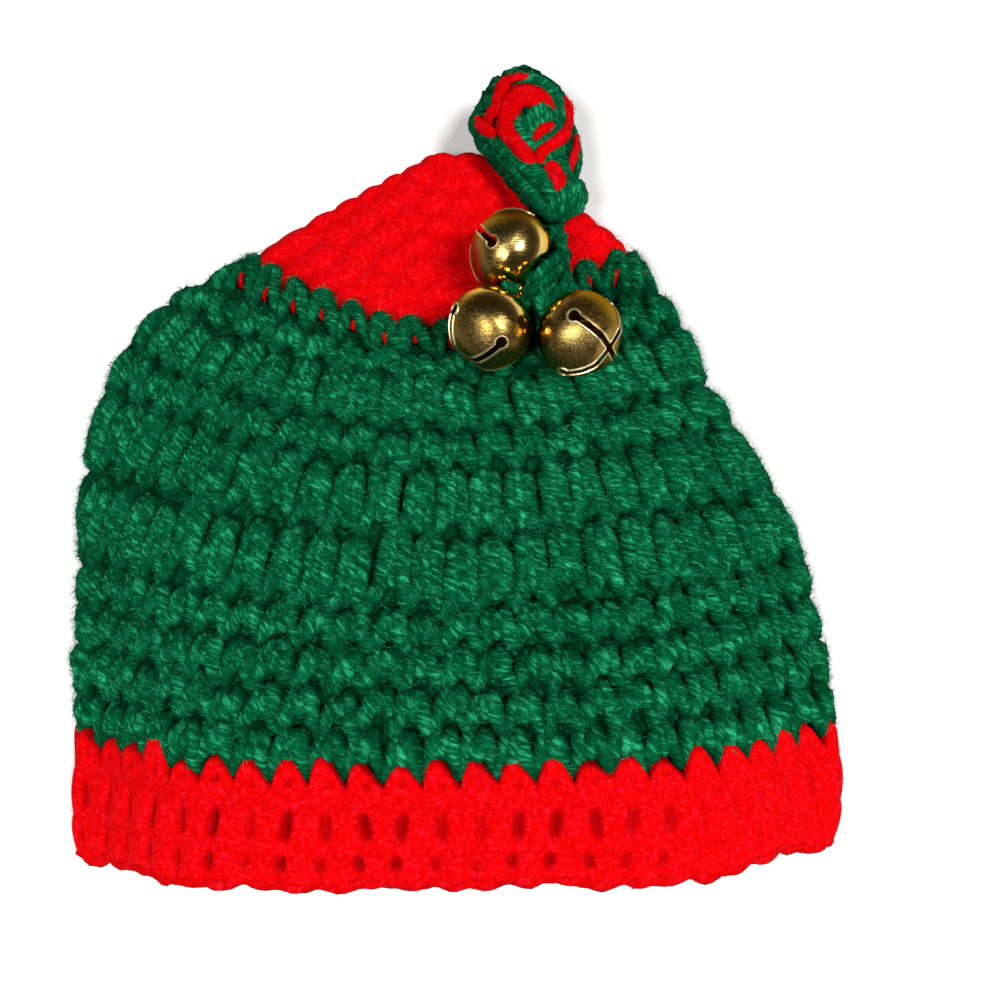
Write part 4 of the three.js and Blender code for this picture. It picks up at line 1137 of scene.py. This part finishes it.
def cord_yarn(tree):
    """Strands laid together from the knob's neck to the knot, the knot, and its strands to the bells."""
    yarn = Yarn()
    upward = np.array([0.0, 0.0, 1.0])

    def over_hat(stations):
        return [(x, y, top_of_hat(x, y, tree) + lift) for x, y, lift in stations]

    middle = smooth_path([over_hat(CORD_ROUTE)], CORD_POINTS)
    up = np.broadcast_to(upward, middle.shape)
    across, out = path_frame(middle, up)[1:]
    lay = np.linspace(0, CORD_TURNS * 2 * math.pi, CORD_POINTS)[None, :, None]
    for k in range(CORD_STRANDS):
        turn = lay + 2 * math.pi * k / CORD_STRANDS
        points = middle + CORD_LAY * (np.cos(turn) * across - np.sin(turn) * out)
        yarn.add(points, up, CORD_STRAND_RADIUS, FUZZ["tie"], ply=CRISP_PLY)
    for stations in KNOT_STRANDS:
        path = smooth_path([stations], KNOT_POINTS)
        yarn.add(path, np.broadcast_to(upward, path.shape), KNOT_STRAND_RADIUS, FUZZ["tie"], ply=CRISP_PLY)
    hub = np.array(KNOT_MIDDLE)
    for name, centre, end, slot in BELLS:
        axis = -unit(np.array(end))
        eye = np.array(centre) + axis * (BELL_SQUASH * BELL_RADIUS + BELL_LOOP - BELL_LOOP_SINK)
        first = unit(np.array(slot) - axis * np.dot(slot, axis))
        through = np.cross(first, axis)
        hook, near = LOOP_HUB * through, eye - LOOP_DROP * axis
        bend = LOOP_BEND * through
        stations = [hub + hook, near + bend, eye + LOOP_RISE * axis, near - bend, hub - hook]
        path = raise_over_hat(smooth_path([stations], LOOP_POINTS), LOOP_CLEARANCE, tree)
        yarn.add(path, np.broadcast_to(upward, path.shape), LOOP_STRAND_RADIUS, FUZZ["tie"], ply=CRISP_PLY)
    return yarn


# Bells

def lathe(outline, sides):
    """A closed turned mesh from an outline of radius and height that starts and ends on the axis."""
    bm = bmesh.new()
    rings = []
    for radius, height in outline:
        if radius < ON_AXIS:
            rings.append([bm.verts.new((0, 0, height))])
        else:
            turns = 2 * math.pi * np.arange(sides) / sides
            ring = np.stack([radius * np.cos(turns), radius * np.sin(turns), np.full(sides, height)], 1)
            rings.append([bm.verts.new(point) for point in ring])
    for a, b in zip(rings, rings[1:]):
        for k in range(sides):
            k1 = (k + 1) % sides
            corners = [a[k % len(a)], b[k % len(b)], b[k1 % len(b)], a[k1 % len(a)]]
            bm.faces.new(list(dict.fromkeys(corners)))
    bmesh.ops.recalc_face_normals(bm, faces=bm.faces)
    return bm


def scratch_object(name, bm):
    mesh = bpy.data.meshes.new(name)
    bm.to_mesh(mesh)
    bm.free()
    thing = bpy.data.objects.new(name, mesh)
    bpy.context.scene.collection.objects.link(thing)
    return thing


def cut(target, tool, operation):
    modifier = target.modifiers.new("cut", "BOOLEAN")
    modifier.operation = operation
    modifier.solver = "EXACT"
    modifier.object = tool
    depsgraph = bpy.context.evaluated_depsgraph_get()
    mesh = bpy.data.meshes.new_from_object(target.evaluated_get(depsgraph))
    target.modifiers.clear()
    old = target.data
    target.data = mesh
    bpy.data.meshes.remove(old)
    bpy.data.objects.remove(tool, do_unlink=True)


def ball_outline(radius, seam, steps):
    """Half outline of a bell from the slotted end to the loop, with a shallow seam round its middle."""
    outline = []
    for angle in np.linspace(0, math.pi, steps):
        inset = seam * math.exp(-((angle - SEAM_TURN) / SEAM_SPREAD) ** 2)
        outline.append(((radius - inset) * math.sin(angle), -(radius - inset) * math.cos(angle)))
    outline[0] = (0.0, outline[0][1])
    outline[-1] = (0.0, outline[-1][1])
    return outline


def tube(path, radius, sides):
    """A closed ring of round wire along a closed path."""
    path = np.asarray(path, float)
    n = len(path)
    tangent = unit(np.roll(path, -1, 0) - np.roll(path, 1, 0))
    across = unit(np.cross(tangent, path))
    out = np.cross(across, tangent)
    angle = 2 * math.pi * np.arange(sides) / sides
    section = np.cos(angle)[None, :, None] * across[:, None] + np.sin(angle)[None, :, None] * out[:, None]
    verts = path[:, None] + radius * section
    bm = bmesh.new()
    rows = [[bm.verts.new(v) for v in row] for row in verts]
    for i in range(n):
        a, b = rows[i], rows[(i + 1) % n]
        for k in range(sides):
            k1 = (k + 1) % sides
            bm.faces.new((a[k], b[k], b[k1], a[k1]))
    bmesh.ops.recalc_face_normals(bm, faces=bm.faces)
    return bm


def slot_edge():
    """The closed edge of the crossed slots and the round holes at their ends, on the ball."""
    half, hole = BELL_SLOT / 2, BELL_HOLE / 2
    ring = math.sqrt(BELL_RADIUS ** 2 - half ** 2)
    turn = math.radians(BELL_SLOT_TURN)
    open_turn = math.asin(half / hole)
    edge = []
    start = math.asin(half / ring)
    stop = turn - math.atan2(hole * math.cos(open_turn), BELL_RADIUS)
    inward = [(ring * math.sin(a), -half, -ring * math.cos(a)) for a in np.linspace(start, stop, ARM_STEPS)]
    far = math.sqrt(BELL_RADIUS ** 2 - hole ** 2)
    u = np.array([math.sin(turn), 0, -math.cos(turn)])
    t = np.array([math.cos(turn), 0, math.sin(turn)])
    b = np.array([0.0, 1.0, 0.0])
    swing = np.linspace(-math.pi + open_turn, math.pi - open_turn, ROUND_STEPS)[1:-1]
    round_end = [far * u + hole * (math.cos(a) * t + math.sin(a) * b) for a in swing]
    outward = [(ring * math.sin(a), half, -ring * math.cos(a)) for a in np.linspace(stop, start, ARM_STEPS)]
    arm = np.array(inward + [tuple(p) for p in round_end] + outward[:-1])
    for k in range(4):
        spin = np.array(Matrix.Rotation(k * math.pi / 2, 3, "Z"))
        edge.append(arm @ spin.T)
    return np.concatenate(edge)


def press(points):
    """Gives a ball the pressed shape of a bell: four flatter petals, a flat slotted end, less height."""
    points = points.copy()
    radial = np.hypot(points[:, 0], points[:, 1])
    from_end = np.degrees(np.arctan2(radial, -points[:, 2]))
    petal = np.clip((PETAL_END - from_end) / PETAL_FADE, 0, 1)
    petal = petal * petal * (3 - 2 * petal)
    heading = points[:, :2] / np.maximum(radial, ON_AXIS)[:, None]
    flat = np.maximum((np.abs(heading) ** BELL_PETAL_POWER).sum(1), ON_AXIS) ** (-1 / BELL_PETAL_POWER)
    flat = np.where(radial > ON_AXIS, flat, 1.0)
    points[:, :2] *= (1 + (flat - 1) * petal)[:, None]
    end = BELL_RADIUS * math.cos(math.radians(BELL_FLAT_TURN))
    beyond = np.maximum(0, -points[:, 2] - end)
    points[:, 2] += beyond * (1 - BELL_FLAT_RISE)
    points[:, 2] *= BELL_SQUASH
    return points


def slotted_shell(name):
    """A ball of thin sheet with two crossed slots and a round hole at each of their ends."""
    shell = scratch_object(name, lathe(ball_outline(BELL_RADIUS, BELL_SEAM, SHELL_STEPS), SHELL_SIDES))
    hollow = lathe(ball_outline(BELL_RADIUS - BELL_WALL, 0.0, HOLLOW_STEPS), HOLLOW_SIDES)
    cut(shell, scratch_object("hollow", hollow), "DIFFERENCE")
    turn = math.radians(BELL_SLOT_TURN)
    reach, depth = BELL_RADIUS * math.sin(turn), BELL_RADIUS * (1 - math.cos(turn))
    quarters = [Matrix.Rotation(k * math.pi / 2, 3, "Z") for k in range(4)]
    for quarter in quarters[:2]:
        slab = bmesh.new()
        bmesh.ops.create_cube(slab, size=1.0)
        bmesh.ops.scale(slab, vec=(2 * reach, BELL_SLOT, depth + CUT_OVER), verts=slab.verts)
        bmesh.ops.translate(slab, vec=(0, 0, -BELL_RADIUS + (depth - CUT_OVER) / 2), verts=slab.verts)
        bmesh.ops.rotate(slab, matrix=quarter, verts=slab.verts)
        cut(shell, scratch_object("slot", slab), "DIFFERENCE")
    half = BELL_HOLE / 2
    for quarter in quarters:
        drill = bmesh.new()
        bmesh.ops.create_cone(drill, cap_ends=True, segments=HOLE_SIDES, radius1=half, radius2=half,
                              depth=2 * CUT_OVER)
        bmesh.ops.translate(drill, vec=(0, 0, -BELL_RADIUS), verts=drill.verts)
        bmesh.ops.rotate(drill, matrix=Matrix.Rotation(-turn, 3, "Y"), verts=drill.verts)
        bmesh.ops.rotate(drill, matrix=quarter, verts=drill.verts)
        cut(shell, scratch_object("hole", drill), "DIFFERENCE")
    return shell


def wire_loop():
    """The loop opposite the slots, where the yarn passes."""
    a = 2 * math.pi * np.arange(LOOP_STEPS) / LOOP_STEPS
    lift = BELL_RADIUS + (BELL_LOOP - BELL_LOOP_SINK) / BELL_SQUASH
    ring = np.stack([BELL_LOOP * np.cos(a), 0 * a, BELL_LOOP * np.sin(a)], 1)
    loop = tube(ring, BELL_WIRE / 2, WIRE_SIDES)
    bmesh.ops.translate(loop, vec=(0, 0, lift), verts=loop.verts)
    return loop


def join_to(shell, *extras):
    """Adds other meshes to the shell after its own vertices."""
    whole = bmesh.new()
    whole.from_mesh(shell.data)
    for extra in extras:
        mesh = bpy.data.meshes.new("extra")
        extra.to_mesh(mesh)
        extra.free()
        whole.from_mesh(mesh)
        bpy.data.meshes.remove(mesh)
    whole.to_mesh(shell.data)
    whole.free()


def bell(name, centre, end, slot):
    """A bell of thin sheet: a shell, crossed slots with round ends and turned edges, and a wire loop."""
    shell = slotted_shell(name)
    rim = tube(slot_edge(), BELL_RIM, RIM_SIDES)
    sheet, turned = len(shell.data.vertices), len(rim.verts)
    join_to(shell, rim, wire_loop())
    points = np.empty(len(shell.data.vertices) * 3, np.float32)
    shell.data.vertices.foreach_get("co", points)
    points = points.reshape(-1, 3)
    from_end = np.degrees(np.arctan2(np.hypot(points[:, 0], points[:, 1]), -points[:, 2]))
    shell.data.vertices.foreach_set("co", press(points).ravel())
    # Mask of the petals, which the material paints with speckled shade and makes dull; -1 marks the turned
    # edge, which gets a painted highlight
    petal = np.clip((DULL_END - from_end) / DULL_FADE, 0, 1).astype(np.float32)
    petal[sheet:sheet + turned] = -1.0
    shell.data.attributes.new("petal", "FLOAT", "POINT").data.foreach_set("value", petal)
    axis = -Vector(end).normalized()
    first = Vector(slot)
    first = (first - axis * first.dot(axis)).normalized()
    second = axis.cross(first)
    place = Matrix((first, second, axis)).transposed().to_4x4()
    place.translation = Vector(centre)
    shell.data.transform(Matrix.Scale(MM, 4) @ place)
    shell.data.materials.clear()
    shell.data.materials.append(brass)
    shell.data.shade_smooth()
    shell.data.set_sharp_from_angle(angle=math.radians(SHARP_TURN))
    return shell


# Pieces

def place_piece(piece, slot, *nodes):
    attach(piece, "root")
    if nodes:
        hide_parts(*nodes)


tree = hat_tree()
# Walls: zone, where it starts and ends, where its inside starts, closed at the tip, columns, ring spacing
ZONES = (
    ("crown", 0.6, 51.4, INNER_TIP, True, 288, 0.9),
    ("body", 51.6, 147.6, 51.6, False, 144, 4.0),
    ("band", 142.0, 167.0, 147.8, False, 760, 0.6),
)
for zone, start, end, inner_start, closed, columns, step in ZONES:
    wall = hat_wall(zone, start, end, inner_start, YARN[ZONE_COLOUR[zone]], closed, columns, step)
    place_piece(wall, zone, zone)
    if zone in FELT_FUZZ:
        felt = felt_roots(zone, max(start, FELT_MARGIN), end - FELT_MARGIN * closed)
        place_piece(fibres(zone + "_felt", felt, YARN[ZONE_COLOUR[zone]], FIBRE_LENGTH[zone]), zone)
for part, yarn in crochet().items():
    zone = part.split("_")[0]
    material = YARN[ZONE_COLOUR[zone]]
    place_piece(yarn.mesh(part + "_stitches", material), zone)
    if sum(len(r[0]) for r in yarn.roots):
        place_piece(fibres(part + "_fibres", yarn.roots, material, FIBRE_LENGTH[zone]), zone)

core = knob_core(tree)
place_piece(core, "knob", "knob")
for colour, yarn in knob_yarn(tree).items():
    place_piece(yarn.mesh("knob_" + colour + "_yarn", YARN[colour]), "knob")
    fuzz = fibres("knob_" + colour + "_fibres", yarn.roots, YARN[colour], FIBRE_LENGTH["knob"])
    place_piece(fuzz, "knob")

cord = cord_yarn(tree)
place_piece(cord.mesh("bell_tie_yarn", YARN["green"]), "bell_tie", "bell_tie")
place_piece(fibres("bell_tie_fibres", cord.roots, YARN["green"], FIBRE_LENGTH["tie"]), "bell_tie")

for name, centre, end, slot in BELLS:
    place_piece(bell(name + "_shell", centre, end, slot), name, name)


# Stage, light and camera

def stage():
    mesh = bpy.data.meshes.new("table")
    corners = [(x * TABLE_HALF, y * TABLE_HALF, 0) for x, y in ((-1, -1), (1, -1), (1, 1), (-1, 1))]
    mesh.from_pydata(corners, [], [(0, 1, 2, 3)])
    table = bpy.data.objects.new("table", mesh)
    bpy.context.scene.collection.objects.link(table)
    mesh.materials.append(table_material())


def soft_light(name, place, size, power):
    light = bpy.data.lights.new(name, "AREA")
    light.energy = power
    light.shape = "DISK"
    light.size = size
    lamp = bpy.data.objects.new(name, light)
    lamp.location = place
    lamp.rotation_euler = (-Vector(place)).to_track_quat("-Z", "Y").to_euler()
    bpy.context.scene.collection.objects.link(lamp)


def studio():
    """A dim room, darker overhead."""
    world = bpy.data.worlds.new("studio")
    world.use_nodes = True
    nodes = Nodes(world.node_tree)
    way = nodes.add("TexCoord", {}).outputs["Generated"]
    height = nodes.add("SeparateXYZ", {"Vector": way}).outputs["Z"]
    background = world.node_tree.nodes["Background"].inputs
    nodes.feed(background["Color"], nodes.colours(height, *ROOM))
    background["Strength"].default_value = ROOM_STRENGTH
    bpy.context.scene.world = world
    bpy.context.scene.view_settings.view_transform = "Standard"


stage()
for light in LIGHTS:
    soft_light(*light)
studio()

camera = bpy.data.cameras.new("camera")
camera.lens = CAMERA_LENS
camera.sensor_width = CAMERA_SENSOR
camera.clip_start = CAMERA_NEAR
eye = bpy.data.objects.new("camera", camera)
eye.location = Vector(CAMERA_PLACE) * MM
eye.rotation_euler = (math.radians(CAMERA_TILT), 0, 0)
bpy.context.scene.collection.objects.link(eye)
bpy.context.scene.camera = eye
